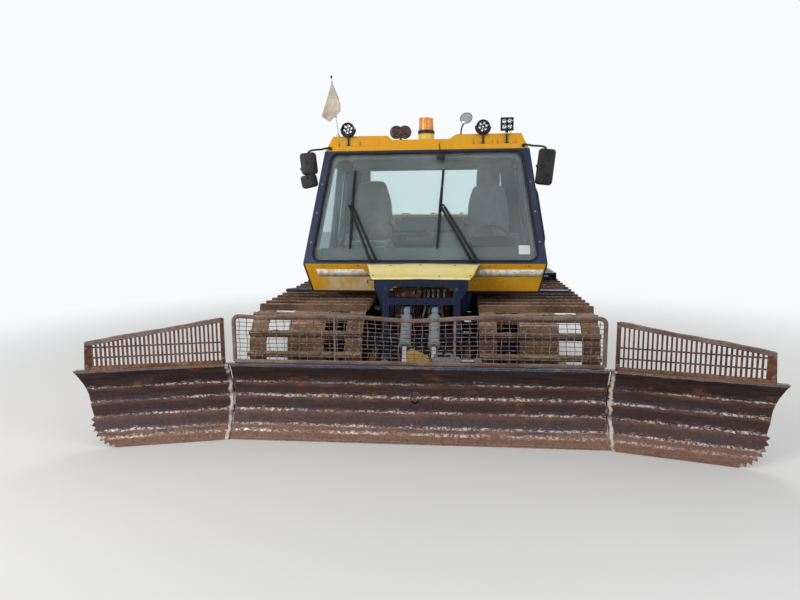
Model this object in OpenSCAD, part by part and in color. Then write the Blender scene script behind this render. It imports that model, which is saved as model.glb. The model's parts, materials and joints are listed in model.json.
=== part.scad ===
// Tracked snow groomer: winged front blade, two-seat cab, engine house and rear implement frame.
// The front faces -Y and the origin is on the ground, below the middle of the whole machine.

/* [Tracks] */
// Width of one track
track_w = 1030; // [960:10:1100]
// Distance between the middles of the two tracks
track_gauge = 2070; // [2040:10:2160]
// Distance from one track bar to the next
bar_pitch = 183; // [160:1:220]
// Height of a track bar above its belt
bar_h = 62; // [50:2:70]
// Width of a track bar at its foot
bar_foot = 64; // [50:2:80]
// Width of a track bar at its tip
bar_tip = 26; // [16:2:40]
// Thickness of the belts
belt_t = 15; // [10:1:18]
// Width of each outer belt
side_belt_w = 150; // [100:10:180]
// Width of the middle belt, on which the wheels run
mid_belt_w = 330; // [280:10:380]

/* [Running gear] */
// Outer radius of the wheels
wheel_r = 325; // [300:5:330]
// Width of the tyres
wheel_w = 190; // [150:10:220]
// Radius of the wheel rims
rim_r = 200; // [170:5:220]
// Distance between two road wheels
wheel_pitch = 675; // [665:5:690]
// Place of the first road wheel along the machine
first_wheel_y = -767; // [-780:1:-760]
// Number of road wheels on each side
road_wheels = 4; // [3:1:4]
// Place of the front idler along the machine
idler_y = -1445; // [-1460:5:-1440]
// Height of the front idler's middle
idler_z = 523; // [500:1:530]
// Radius of the rear drive drum
drum_r = 380; // [350:5:385]
// Place of the drive drum along the machine
drum_y = 1970; // [1950:5:1990]
// Height of the drive drum's middle
drum_z = 528; // [515:1:535]

/* [Chassis] */
// Half the distance between the middles of the two frame rails
rail_x = 340; // [330:5:350]
// Width of a frame rail
rail_w = 80; // [60:5:90]
// Height of the underside of the rails
rail_bottom = 430; // [400:5:450]
// Height of the top of the rails
rail_top = 700; // [660:5:720]
// Front end of the rails
rail_front = -1600; // [-1610:5:-1590]
// Rear end of the rails
rail_rear = 2380; // [2360:5:2400]
// Height at which the cab and the decks stand
deck_z = 1030; // [1025:1:1040]
// Thickness of the deck plates and of the outriggers below them
deck_t = 24; // [16:2:28]

/* [Cab] */
// Thickness of the cab's walls and doors
cab_wall = 45; // [35:1:50]
// Rear end of the cab floor
cab_rear = 360; // [340:5:380]
// Height of the windshield's foot, where the body colour changes
sill_z = 1300; // [1290:1:1310]
// Place of the windshield's foot along the machine
sill_y = -1352; // [-1360:1:-1340]
// Half the cab's width at the windshield's foot
sill_x = 1140; // [1120:5:1150]
// Half the cab's width at its floor
floor_x = 1090; // [1080:5:1100]
// Height of the windshield's top, where the roof begins
eave_z = 2390; // [2380:1:2400]
// Place of the windshield's top along the machine
eave_y = -912; // [-920:1:-900]
// Half the cab's width below the roof
eave_x = 1000; // [990:5:1010]
// Height of the top of the roof
roof_z = 2545; // [2535:1:2555]
// Half the width of the flat top of the roof
roof_x = 930; // [920:5:940]
// Gap round a door
door_gap = 6; // [5:0.5:8]
// Rear edge of a door's opening
door_rear = -140; // [-150:5:-130]
// Thickness of the window glass
glass_t = 8; // [5:1:12]

/* [Nose] */
// Half the outer width of the nose portal
portal_x = 350; // [340:5:360]
// Width of the portal's posts
post_w = 62; // [55:1:70]
// Front face of the portal
portal_y = -1680; // [-1690:5:-1670]
// Height of the portal's top
portal_top = 1196; // [1190:1:1198]
// Half the width of the hood flap at its front lip
flap_front_x = 440; // [430:5:450]
// Half the width of the hood flap at the windshield
flap_rear_x = 530; // [520:5:540]

/* [Blade] */
// Half the width of the blade's middle panel
blade_x = 1460; // [1440:5:1470]
// Height of the blade's top lip
blade_h = 600; // [590:1:610]
// Place of the cutting edge along the machine
edge_y = -2552; // [-2560:1:-2545]
// Height of the cutting edge above the ground
edge_z = 2; // [1:1:5]
// Thickness of the blade's plate
plate_t = 12; // [8:1:16]
// Length of a wing, from its hinge
wing_l = 1180; // [1160:5:1200]
// Angle at which the wings stand forward
wing_turn = 16; // [12:1:18]
// Gap between the blade and a wing
wing_gap = 10; // [8:1:12]
// Number of teeth on a wing's corner
wing_teeth = 8; // [6:1:10]
// Height of the middle grille's top
grille_top = 1000; // [980:5:1010]
// Distance between the upright wires of the middle grille
mesh_x = 62; // [56:1:80]
// Distance between the level wires of the middle grille
mesh_z = 40; // [36:1:60]
// Number of slats in a wing's grille
wing_slats = 30; // [20:1:32]

/* [Rear frame] */
// Rear end of the implement frame
rear_end = 2822; // [2810:1:2840]
// Height of the rear frame's hinge
rear_hinge_z = 470; // [460:5:480]

/* [Hidden] */
$fn = 48;

// Gap that a piece keeps from the seat that carries it
seat = 0.3;
// Radial gap between a pin and its bore
pin_gap = 0.1;
yellow = [0.93, 0.66, 0.10];
navy = [0.07, 0.12, 0.25];
rust = [0.30, 0.17, 0.12];
cream = [0.93, 0.83, 0.55];
black = [0.06, 0.06, 0.06];
steel = [0.62, 0.64, 0.66];
grey_blue = [0.45, 0.52, 0.60];
glass = [0.55, 0.70, 0.72, 0.4];

// Geometry helpers

// Draws a y, z outline between two places across the machine
module along_x(x0, x1) translate([x0, 0, 0]) rotate([90, 0, 90]) linear_extrude(x1 - x0) children();

// Draws an x, z outline between two places along the machine
module along_y(y0, y1) translate([0, y1, 0]) rotate([90, 0, 0]) linear_extrude(y1 - y0) children();

// Block between two opposite corners
module box(low, high) translate(low) cube(high - low);

module both_sides() {
    children();
    mirror([1, 0, 0]) children();
}

// Round rod between two points
module rod(a, b, r) {
    d = b - a;
    translate(a)
        rotate([0, acos(d[2] / norm(d)), atan2(d[1], d[0])])
            cylinder(r = r, h = norm(d));
}

// Straight tube between two points
module pipe(a, b, r, hole) difference() {
    rod(a, b, r);
    rod(a - unit(b - a), b + unit(b - a), hole);
}

function unit(v) = v / norm(v);
function wrap(i, n) = (i + n) % n;
function sum(v, i = 0) = i < len(v) ? v[i] + sum(v, i + 1) : 0;

// Corner where two edges of a convex outline meet once both have moved inward by t
function inner_corner(a, b, c, t) =
    let (u = unit(b - a), v = unit(c - b), m = [-u[1], u[0]], n = [-v[1], v[0]])
    b + (m + n) * t / (1 + m * n);

// A convex outline, counter-clockwise, moved inward by t
function shrink(pts, t) = [
    for (i = [0 : len(pts) - 1])
        inner_corner(pts[wrap(i - 1, len(pts))], pts[i], pts[wrap(i + 1, len(pts))], t)
];

// A convex outline with its corners rounded to radius r by k short edges each
function rounded(pts, r, k = 5) = [
    for (i = [0 : len(pts) - 1])
        let (
            a = pts[wrap(i - 1, len(pts))], b = pts[i], c = pts[wrap(i + 1, len(pts))],
            centre = inner_corner(a, b, c, r),
            from = atan2(b[1] - a[1], b[0] - a[0]) - 90,
            sweep = turn(from, atan2(c[1] - b[1], c[0] - b[0]) - 90)
        )
        for (j = [0 : k])
            centre + r * [cos(from + sweep * j / k), sin(from + sweep * j / k)]
];

// Outline of an open line of points, thickened by t on its left
function thick_line(pts, t) = concat(
    pts,
    [
        for (i = [len(pts) - 1 : -1 : 0])
            let (
                u = unit(pts[min(i + 1, len(pts) - 1)] - pts[min(i, len(pts) - 2)]),
                v = unit(pts[max(i, 1)] - pts[max(i - 1, 0)]),
                m = [-u[1], u[0]],
                n = [-v[1], v[0]]
            )
            pts[i] + (m + n) * t / (1 + m * n)
    ]
);

// Smooth tube of k sides that sweeps along a list of points
module tube(pts, r, k = 8) {
    n = len(pts);
    function heading(i) = unit(pts[min(i + 1, n - 1)] - pts[max(i - 1, 0)]);
    function side(i) = unit(cross(heading(i), abs(heading(i)[0]) > 0.9 ? [0, 0, 1] : [1, 0, 0]));
    rings = [
        for (i = [0 : n - 1])
            let (s = side(i), o = cross(heading(i), s))
            for (j = [0 : k - 1])
                pts[i] + r * (cos(j * 360 / k) * s + sin(j * 360 / k) * o)
    ];
    walls = [
        for (i = [0 : n - 2])
            for (j = [0 : k - 1])
                [i * k + j, (i + 1) * k + j, (i + 1) * k + (j + 1) % k, i * k + (j + 1) % k]
    ];
    ends = [[for (j = [0 : k - 1]) j], [for (j = [k - 1 : -1 : 0]) (n - 1) * k + j]];
    polyhedron(points = rings, faces = concat(walls, ends), convexity = 4);
}

// Hydraulic cylinders, each between a pin at a and a pin at b, with both pins along pin_dir.
// Columns of a size: barrel radius, rod radius, eye radius, pin radius, eye width, length of the neck
lift_size = [48, 26, 42, 20, 56, 60];
small_size = [34, 18, 32, 15, 44, 46];
// Radius of the pin that a rod's eye hangs on, slimmer than its bore so that the eye may drift
lift_slim = 13;
small_slim = 8;
collar = 8;

// Barrel with its eye on the pin at a and its collar at barrel_l
module cylinder_barrel(a, b, pin_dir, size, barrel_l) {
    d = unit(b - a);
    difference() {
        union() {
            rod(a, a + d * (size[5] + 8), size[1]);
            rod(a + d * size[5], a + d * barrel_l, size[0]);
            rod(a + d * (barrel_l - 3 * collar), a + d * (barrel_l + collar), size[0] + 5);
            rod(a - pin_dir * size[4] / 2, a + pin_dir * size[4] / 2, size[2]);
        }
        rod(a - pin_dir * size[4], a + pin_dir * size[4], size[3] + pin_gap);
        rod(a + d * (size[5] + 14), a + d * (barrel_l + collar + 2), size[1] + pin_gap);
    }
}

// Rod with its eye on the pin at b and its other end at the distance tail from a
module cylinder_rod(a, b, pin_dir, size, tail) {
    d = unit(b - a);
    difference() {
        union() {
            rod(a + d * tail, b - d * size[2] * 0.8, size[1]);
            rod(b - pin_dir * size[4] / 2, b + pin_dir * size[4] / 2, size[2]);
        }
        rod(b - pin_dir * size[4], b + pin_dir * size[4], size[3] + pin_gap);
    }
}

// A pin of radius r with a lug plate at each side of the eye that hangs on it
lug_t = 14;
lug_gap = 1.5;
module pin(at, pin_dir, size, r) {
    half = size[4] / 2 + lug_gap + lug_t;
    rod(at - pin_dir * (half + 6), at + pin_dir * (half + 6), r);
    for (side = [-1, 1])
        rod(at + pin_dir * side * (half - lug_t), at + pin_dir * side * half, size[2] + 2);
}

// Both lug plates of an eye, as an outline that the pin's own plates close
module cheeks_x(x, size) for (side = [-1, 1])
    along_x(
        x + side * (size[4] / 2 + lug_gap + lug_t / 2) - lug_t / 2,
        x + side * (size[4] / 2 + lug_gap + lug_t / 2) + lug_t / 2
    ) children();

module cheeks_z(z, size) for (side = [-1, 1])
    translate([0, 0, z + side * (size[4] / 2 + lug_gap + lug_t / 2)])
        linear_extrude(lug_t, center = true) children();

// Tracks and wheels

track_x = track_gauge / 2;
wheel_z = bar_h + belt_t + seat + wheel_r;
wheel_ys = [idler_y, for (i = [0 : road_wheels - 1]) first_wheel_y + i * wheel_pitch];
function wheel_height(i) = i == 0 ? idler_z : wheel_z;
last_wheel_y = first_wheel_y + (road_wheels - 1) * wheel_pitch;
// Rows: y, z, radius of the circles that the belts run round
belt_circles = [
    [idler_y, idler_z, wheel_r + seat],
    [first_wheel_y, wheel_z, wheel_r + seat],
    [last_wheel_y, wheel_z, wheel_r + seat],
    [drum_y, drum_z, drum_r + seat]
];
// Largest turn between two flats of a belt
belt_step = 30;

function turn(a, b) = ((b - a) % 360 + 360) % 360;

// Angle at which the line that touches circles a and b faces outward
function facing(a, b) =
    let (d = [b[0] - a[0], b[1] - a[1]])
    atan2(d[1], d[0]) - acos((a[2] - b[2]) / norm(d));

// Flat-sided loop that lies outside all circles by the amount grow
function belt_loop(c, grow) = [
    for (i = [0 : len(c) - 1])
        let (
            from = facing(c[wrap(i - 1, len(c))], c[i]),
            sweep = turn(from, facing(c[i], c[wrap(i + 1, len(c))])),
            k = ceil(sweep / belt_step),
            r = (c[i][2] + grow) / cos(sweep / k / 2)
        )
        for (j = [0 : k - 1])
            [c[i][0] + r * cos(from + (j + 0.5) * sweep / k), c[i][1] + r * sin(from + (j + 0.5) * sweep / k)]
];

function edge(pts, i) = pts[wrap(i + 1, len(pts))] - pts[i];

// Point and heading at the distance s along a closed outline
function place_at(pts, s, i = 0) =
    let (l = norm(edge(pts, i)))
    s <= l
        ? [pts[i] + edge(pts, i) * s / l, atan2(edge(pts, i)[1], edge(pts, i)[0])]
        : place_at(pts, s - l, i + 1);

belt_inside = belt_loop(belt_circles, 0);
belt_outside = belt_loop(belt_circles, belt_t);
belt_length = sum([for (i = [0 : len(belt_outside) - 1]) norm(edge(belt_outside, i))]);
bar_count = round(belt_length / bar_pitch);

module track() color(rust) difference() {
    along_x(-track_w / 2, track_w / 2) difference() {
        union() {
            polygon(belt_outside);
            for (i = [0 : bar_count - 1]) {
                p = place_at(belt_outside, (i + 0.5) * belt_length / bar_count);
                translate(p[0])
                    rotate(p[1] + 180)
                        polygon([
                            [-bar_foot / 2, -belt_t / 3], [bar_foot / 2, -belt_t / 3],
                            [bar_tip / 2, bar_h], [-bar_tip / 2, bar_h]
                        ]);
            }
        }
        polygon(belt_inside);
    }
    for (side = [-1, 1])
        translate([side * (mid_belt_w / 2 + track_w / 2 - side_belt_w) / 2, 0, 0])
            along_x(-belt_space / 2, belt_space / 2) polygon(belt_outside);
}
belt_space = track_w / 2 - side_belt_w - mid_belt_w / 2;

module track_left() translate([track_x, 0, 0]) track();

module track_right() translate([-track_x, 0, 0]) track();

// Revolves an outline of radius and place along the axle round an axle across the machine
module wheel_turned(pts) rotate([0, 90, 0]) rotate_extrude($fn = 40) polygon(pts);

module at_wheels() both_sides()
    for (i = [0 : road_wheels])
        translate([track_x, wheel_ys[i], wheel_height(i)]) children();

tyre_sides = 16;
// Regular outline with a corner straight down, where the wheel stands on its belt
function regular(r, n) = [for (i = [0 : n - 1]) r * [cos(i * 360 / n), sin(i * 360 / n)]];

module tyres() color(black) at_wheels() along_x(-wheel_w / 2, wheel_w / 2) difference() {
    polygon(regular(wheel_r, tyre_sides));
    polygon(regular((rim_r + seat) / cos(180 / tyre_sides), tyre_sides));
}

hub_r = 62;
// Thickness of a rim's ring, and both faces of its flat web
rim_t = 12;
web = [-22, -6];
hand_hole_r = 24;
module wheel_rims() color(yellow) at_wheels() difference() {
    wheel_turned([
        [hub_r, web[0]], [rim_r - rim_t, web[0]], [rim_r - rim_t, -wheel_w / 2 + 14],
        [rim_r, -wheel_w / 2 + 14], [rim_r, wheel_w / 2 - 14], [rim_r - rim_t, wheel_w / 2 - 14],
        [rim_r - rim_t, web[1]], [hub_r, web[1]]
    ]);
    for (a = [30 : 60 : 330])
        rotate([a, 0, 0]) translate([web[0] - 10, 0, (hub_r + rim_r) / 2]) rotate([0, 90, 0])
            cylinder(r = hand_hole_r, h = web[1] - web[0] + 20);
}

arm_x = track_x - track_w / 2 + 110;
arm_l = 210;
arm_pivot_z = 560;
module axles() color(navy) at_wheels_arms();

module at_wheels_arms() both_sides()
    for (i = [0 : road_wheels]) {
        hub = [0, wheel_ys[i], wheel_height(i)];
        pivot = [0, wheel_ys[i] + arm_l, arm_pivot_z];
        rod(pivot + [rail_x + rail_w / 2, 0, 0], pivot + [arm_x + 40, 0, 0], 52);
        translate([arm_x, 0, 0]) arm_plate([hub[1], hub[2]], [pivot[1], pivot[2]]);
        rod(hub + [arm_x, 0, 0], hub + [track_x + 30, 0, 0], 34);
        rod(hub + [track_x - 66, 0, 0], hub + [track_x + 44, 0, 0], hub_r - seat);
    }

// Trailing arm with round ends, seen from the side
module arm_plate(a, b) along_x(0, 40) {
    n = [-unit(b - a)[1], unit(b - a)[0]];
    translate(a) circle(r = 64);
    translate(b) circle(r = 72);
    polygon([a + n * 60, a - n * 60, b - n * 66, b + n * 66]);
}

tooth_h = belt_t - 5;
drum_teeth = 18;
tooth_x = mid_belt_w / 2 + belt_space / 2;
module drive_drums() color(navy) both_sides() translate([track_x, drum_y, drum_z]) {
    for (side = [-1, 1])
        translate([side * tooth_x, 0, 0]) along_x(-14, 14) difference() {
            union() {
                circle(r = drum_r - 20, $fn = 72);
                for (i = [0 : drum_teeth - 1])
                    rotate(i * 360 / drum_teeth)
                        polygon([
                            [drum_r - 40, -26], [drum_r + tooth_h, -12], [drum_r + tooth_h, 12],
                            [drum_r - 40, 26]
                        ]);
            }
            for (a = [0 : 45 : 315]) rotate(a) translate([drum_r * 0.62, 0]) circle(r = 52);
        }
    wheel_turned([
        [0, -mid_belt_w / 2 + 20], [drum_r, -mid_belt_w / 2 + 20], [drum_r, -mid_belt_w / 2 + 60],
        [drum_r - 24, -mid_belt_w / 2 + 70], [drum_r - 24, mid_belt_w / 2 - 70],
        [drum_r, mid_belt_w / 2 - 60], [drum_r, mid_belt_w / 2 - 20], [0, mid_belt_w / 2 - 20]
    ]);
    rotate([0, 90, 0]) translate([0, 0, -tooth_x - 20]) cylinder(r = 130, h = 2 * tooth_x + 40);
    rotate([0, 90, 0]) translate([0, 0, rail_x + rail_w / 2 - track_x])
        cylinder(r = 150, h = track_x - rail_x - rail_w / 2 - tooth_x);
}

// Chassis

cab_front_low = -1212;
// Places along the machine of the cross beams between the rails
cross_ys = [-1500, -700, 100, 900, 1700, 2300];
// Places along the machine of the outriggers that carry the cab and the decks
outrigger_ys = [-1120, 250, 1150, 2160];
outrigger_x = 1380;

push_hinge = [-1430, 520];
push_arm_x = 420;
push_pin_r = 34;
module chassis() color(navy) {
    both_sides() {
        along_x(rail_x - rail_w / 2, rail_x + rail_w / 2) polygon([
            [rail_front, rail_bottom + 40], [rail_front + 160, rail_bottom], [rail_rear - 160, rail_bottom],
            [rail_rear, rail_bottom + 40], [rail_rear, rail_top - 30], [rail_rear - 160, rail_top],
            [rail_front + 160, rail_top], [rail_front, rail_top - 30]
        ]);
        rod([rail_x + rail_w / 2 - 1, push_hinge[0], push_hinge[1]], [push_arm_x + 50, push_hinge[0],
            push_hinge[1]], push_pin_r);
        rod([rail_x + rail_w / 2 - 1, rear_hinge[0], rear_hinge[1]], [push_arm_x + 50, rear_hinge[0],
            rear_hinge[1]], push_pin_r);
    }
    for (y = cross_ys) box([-rail_x, y - 50, rail_bottom + 30], [rail_x, y + 50, rail_top - 40]);
    box([-rail_x, rail_front + 160, rail_bottom], [rail_x, rail_rear - 160, rail_bottom + 10]);
    both_sides() for (y = outrigger_ys) along_y(y - 45, y + 45) polygon([
        [rail_x - rail_w / 2, rail_top - 20], [rail_x + rail_w / 2, rail_top - 20],
        [rail_x + rail_w / 2 + 90, deck_z - deck_t], [outrigger_x, deck_z - deck_t], [outrigger_x, deck_z],
        [rail_x - rail_w / 2, deck_z]
    ]);
    rear_tower();
}

// Nose: portal, hydraulics and hoses behind it, and the flap over them

lift_top = [-1640, 900];
lift_x = 125;
module nose_portal() color(navy) {
    along_y(portal_y, portal_y + 60) difference() {
        polygon([
            [-portal_x, rail_top - 60], [portal_x, rail_top - 60], [portal_x, portal_top - 190],
            [portal_x + 70, portal_top - 90], [portal_x + 70, portal_top], [-portal_x - 70, portal_top],
            [-portal_x - 70, portal_top - 90], [-portal_x, portal_top - 190]
        ]);
        polygon([
            [-portal_x + post_w, rail_top], [portal_x - post_w, rail_top], [portal_x - post_w, lift_beam_z],
            [-portal_x + post_w, lift_beam_z]
        ]);
        polygon([
            [-portal_x + post_w, lift_beam_z + 60], [portal_x - post_w, lift_beam_z + 60],
            [portal_x - post_w, portal_top - 110], [portal_x - post_w - 50, portal_top - 72],
            [-portal_x + post_w + 50, portal_top - 72], [-portal_x + post_w, portal_top - 110]
        ]);
    }
    both_sides() {
        box([portal_x - post_w, portal_y + 60, rail_top - 60], [portal_x, rail_front, rail_top - 30]);
        box([rail_x - rail_w / 2, portal_y + 60, rail_top], [portal_x, cab_front_low - 20, rail_top + 60]);
        along_x(portal_x - 14, portal_x) polygon([
            [portal_y + 60, portal_top], [portal_y + 60, rail_top + 60], [cab_front_low - 60, rail_top + 60],
            [cab_front_low - 60, portal_top - 200], [portal_y + 170, portal_top - 150],
            [portal_y + 130, portal_top]
        ]);
    }
    for (x = [-lift_x, lift_x]) {
        pin([x, lift_top[0], lift_top[1]], cross_x, lift_size, lift_size[3]);
        cheeks_x(x, lift_size) polygon([
            [portal_y + 60, lift_beam_z + 60], [portal_y, lift_beam_z + 60],
            [lift_top[0] - 44, lift_top[1]], [lift_top[0] + 44, lift_top[1]]
        ]);
    }
}
lift_beam_z = 960;

shelf_z = rail_top + 60;
module hydraulics() {
    color(rust) {
        box([-240, portal_y + 90, shelf_z + 14], [-60, portal_y + 330, 1085]);
        rod([-255, portal_y + 80, 1092], [-20, portal_y + 80, 1092], 10);
    }
    color(steel) {
        box([-40, portal_y + 190, shelf_z + 14], [250, portal_y + 330, 1080]);
        rod([-45, portal_y + 92, 985], [-12, portal_y + 92, 1075], 28);
        box([-portal_x + 20, portal_y + 70, shelf_z + seat], [portal_x - 20, portal_y + 330, shelf_z + 14]);
        rod([-35, portal_y + 92, shelf_z + 10], [-45, portal_y + 92, 985], 14);
    }
}

// Rows: x at the top, x in the middle, x at the foot of each hose
hose_rows = [[-20, -24, -18], [22, 30, 12], [60, 58, 66], [104, 108, 116], [150, 148, 158], [206, 184, 190]];
hose_r = 9;
hose_y = portal_y + 136;
module hoses() color([0.55, 0.56, 0.55])
    for (row = hose_rows)
        tube([
            [row[0], hose_y + 54 - seat, 1062], [row[0], hose_y + 36, 1062], [row[0], hose_y + 14, 1052],
            [row[0], hose_y + 2, 1024], [row[1], hose_y, 980], [row[1], hose_y, 930],
            [row[2], hose_y, 870], [row[2], hose_y + 4, 820], [row[2], hose_y + 20, 794],
            [row[2], hose_y + 40, 788], [row[2], hose_y + 54 - seat, 788]
        ], hose_r);

flap_t = 5;
module hood_flap() color(cream) {
    box([-flap_front_x, portal_y - 12, portal_top + seat], [flap_front_x, portal_y + 62, portal_top + flap_t]);
    hull() {
        box([-flap_front_x, portal_y + 61, portal_top + seat], [flap_front_x, portal_y + 62,
            portal_top + flap_t]);
        box([-flap_front_x - 30, portal_y + 120, portal_top + 22], [flap_front_x + 30, portal_y + 121,
            portal_top + 27]);
    }
    hull() {
        box([-flap_front_x - 30, portal_y + 120, portal_top + 22], [flap_front_x + 30, portal_y + 121,
            portal_top + 27]);
        box([-flap_rear_x, sill_y - 2, sill_z - 7], [flap_rear_x, sill_y - 1, sill_z - 2]);
    }
}

// Cab

// Side outline (y, z) and front outline (x, z) of the cab, counter-clockwise
cab_side = [
    [cab_front_low, deck_z], [cab_rear, deck_z], [cab_rear - 30, eave_z], [cab_rear - 110, roof_z - 25],
    [eave_y + 62, roof_z - 5], [eave_y, eave_z], [sill_y, sill_z]
];
cab_face = [
    [-floor_x, deck_z], [floor_x, deck_z], [sill_x, sill_z], [eave_x, eave_z], [roof_x, roof_z],
    [-roof_x, roof_z], [-eave_x, eave_z], [-sill_x, sill_z]
];
ceiling_z = roof_z - 105;

// The cab's outer form moved inward by t
module cab_form(t) intersection() {
    along_x(-1500, 1500) polygon(t == 0 ? cab_side : shrink(cab_side, t));
    along_y(-1600, 600) polygon(t == 0 ? cab_face : shrink(cab_face, t));
}

// Everything between two heights
module layer(z0, z1) box([-1500, -1600, z0], [1500, 600, z1]);

rake = (eave_y - sill_y) / (eave_z - sill_z);
function side_wall_x(z) = sill_x + (z - sill_z) * (eave_x - sill_x) / (eave_z - sill_z);

// Outlines of the openings, counter-clockwise
windshield_hole = rounded([
    [-sill_x + 68, sill_z + 26], [sill_x - 68, sill_z + 26],
    [eave_x - 66, eave_z - 26], [-eave_x + 66, eave_z - 26]
], 75);
rear_window_hole = rounded([[-850, 1560], [850, 1560], [820, 2290], [-820, 2290]], 90);
door_front = 130;
door_hole = [
    [cab_front_low + 106, deck_z + cab_wall + 12], [door_rear, deck_z + cab_wall + 12],
    [door_rear, eave_z - 36], [sill_y + rake * (eave_z - 36 - sill_z) + door_front, eave_z - 36],
    [sill_y + door_front, sill_z]
];
door_window = rounded([
    [sill_y + rake * 90 + door_front + 80, sill_z + 90], [door_rear - 80, sill_z + 90],
    [door_rear - 80, eave_z - 115], [sill_y + rake * (eave_z - 115 - sill_z) + door_front + 75, eave_z - 115]
], 60);
side_window = rounded([
    [door_rear + 80, sill_z + 130], [cab_rear - 120, sill_z + 130], [cab_rear - 140, eave_z - 115],
    [door_rear + 80, eave_z - 115]
], 60);

module both_walls(pts) along_x(-1500, 1500) polygon(pts);

module cab_body() color(yellow) difference() {
    intersection() {
        difference() {
            cab_form(0);
            cab_form(cab_wall);
        }
        layer(deck_z - 1, sill_z);
    }
    both_walls(door_hole);
}

module cab_frame() color(navy) {
    both_sides() for (z = hinge_zs) on_hinge(z) frame_hinge();
    cab_frame_shell();
}

module cab_frame_shell() difference() {
    intersection() {
        difference() {
            cab_form(0);
            cab_form(cab_wall);
        }
        layer(sill_z, eave_z);
    }
    both_walls(door_hole);
    both_walls(side_window);
    along_y(-1500, -600) polygon(windshield_hole);
    along_y(200, 500) polygon(rear_window_hole);
}

// Rows: middle x, width of the lamp pockets in the roof's front band
pockets = [[-773, 200], [-560, 200], [560, 200], [790, 190]];
module cab_roof() color(yellow) difference() {
    intersection() {
        cab_form(0);
        layer(eave_z, roof_z + 1);
    }
    intersection() {
        cab_form(cab_wall);
        layer(eave_z - 1, ceiling_z);
    }
    along_y(-1500, 500) polygon([
        [-400, roof_z + 10], [-330, roof_z - 50], [230, roof_z - 50], [320, roof_z + 10]
    ]);
    for (row = pockets)
        box([row[0] - row[1] / 2, eave_y - 60, eave_z + 50], [row[0] + row[1] / 2, eave_y + 48, eave_z + 112]);
}

glass_in = (cab_wall - glass_t) / 2;
module glass_in_hole() intersection() {
    difference() {
        cab_form(glass_in);
        cab_form(glass_in + glass_t);
    }
    children();
}

module cab_glass() color(glass) {
    glass_in_hole() along_y(-1500, -600) polygon(shrink(windshield_hole, seat));
    glass_in_hole() along_y(200, 500) polygon(shrink(rear_window_hole, seat));
    both_sides() glass_in_hole() along_x(700, 1500) polygon(shrink(side_window, seat));
}

// Hinges stand along the tilted edge of the side wall, at these heights
hinge_zs = [1420, 2180];
hinge_r = 14;
hinge_pin_r = 7;
knuckle_h = 40;
wall_tilt = atan((sill_x - eave_x) / (eave_z - sill_z));

// Sets its children on a door's hinge line at the height z, with their own z along the hinge
module on_hinge(z) translate([side_wall_x(z) + hinge_r + 1, door_rear - door_gap / 2, z])
    rotate([0, -wall_tilt, 0]) children();

module frame_hinge() {
    for (side = [-1, 1])
        translate([0, 0, side * (knuckle_h / 2 + 11)]) {
            cylinder(r = hinge_r, h = 20, center = true);
            box([-hinge_r, 0, -10], [-hinge_r + 6, 64, 10]);
            box([-hinge_r, 0, -10], [0, 12, 10]);
            box([-hinge_r - 6, 12, -10], [-hinge_r + 2, 60, 10]);
        }
    cylinder(r = hinge_pin_r, h = knuckle_h + 36, center = true);
}

module door_hinge() difference() {
    union() {
        cylinder(r = hinge_r, h = knuckle_h, center = true);
        box([-hinge_r, -64, -knuckle_h / 2], [-hinge_r + 6, 0, knuckle_h / 2]);
        box([-hinge_r, -12, -knuckle_h / 2], [0, 0, knuckle_h / 2]);
        box([-hinge_r - 6, -60, -knuckle_h / 2], [-hinge_r + 2, -12, knuckle_h / 2]);
    }
    cylinder(r = hinge_pin_r + pin_gap, h = knuckle_h + 2, center = true);
}

module door() {
    for (z = hinge_zs) on_hinge(z) door_hinge();
    door_panel();
}

module door_panel() difference() {
    intersection() {
        difference() {
            cab_form(0);
            cab_form(cab_wall);
        }
        along_x(700, 1500) polygon(shrink(door_hole, door_gap));
    }
    along_x(700, 1500) polygon(door_window);
}

module door_glass() glass_in_hole() along_x(700, 1500) polygon(shrink(door_window, seat));

module door_left() color(navy) door();

module door_right() color(navy) mirror([1, 0, 0]) door();

module door_glass_left() color(glass) door_glass();

module door_glass_right() color(glass) mirror([1, 0, 0]) door_glass();

// Point on the windshield's outer face at x and z, lifted off it by d
shield_normal = unit([0, -(eave_z - sill_z), eave_y - sill_y]);
function on_shield(x, z, d) = [x, sill_y + rake * (z - sill_z), z] + shield_normal * d;

// Rows: x of the pivot, x of the arm's head, x of the blade's foot, x of the blade's top
wiper_rows = [[-470, -705, -700, -690], [475, 170, 130, 180]];
wiper_foot_z = sill_z + 140;
wiper_head_z = sill_z + 530;
wiper_top_z = eave_z - 200;
module wipers() color(black)
    for (row = wiper_rows) {
        for (side = [-1, 1]) {
            pivot = on_shield(row[0] + side * 27, sill_z + 24, 0);
            rod(pivot + shield_normal * seat, pivot + shield_normal * 44, 15);
            rod(pivot + shield_normal * 38, on_shield(row[1] + side * 16, wiper_head_z, 38), 8);
        }
        rod(on_shield(row[1] - 26, wiper_head_z, 38), on_shield(row[1] + 26, wiper_head_z, 38), 11);
        rod(on_shield(row[1], wiper_head_z, 40), on_shield(row[1], wiper_head_z, 14), 9);
        rod(on_shield(row[2], wiper_foot_z, 17), on_shield(row[3], wiper_top_z, 17), 9);
    }

// Point on the roof's front band at x and z, lifted off it by d
band_normal = unit([0, -(roof_z - 5 - eave_z), 62]);
function on_band(x, z, d) = [x, eave_y + (z - eave_z) * 62 / (roof_z - 5 - eave_z), z] + band_normal * d;

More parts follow.
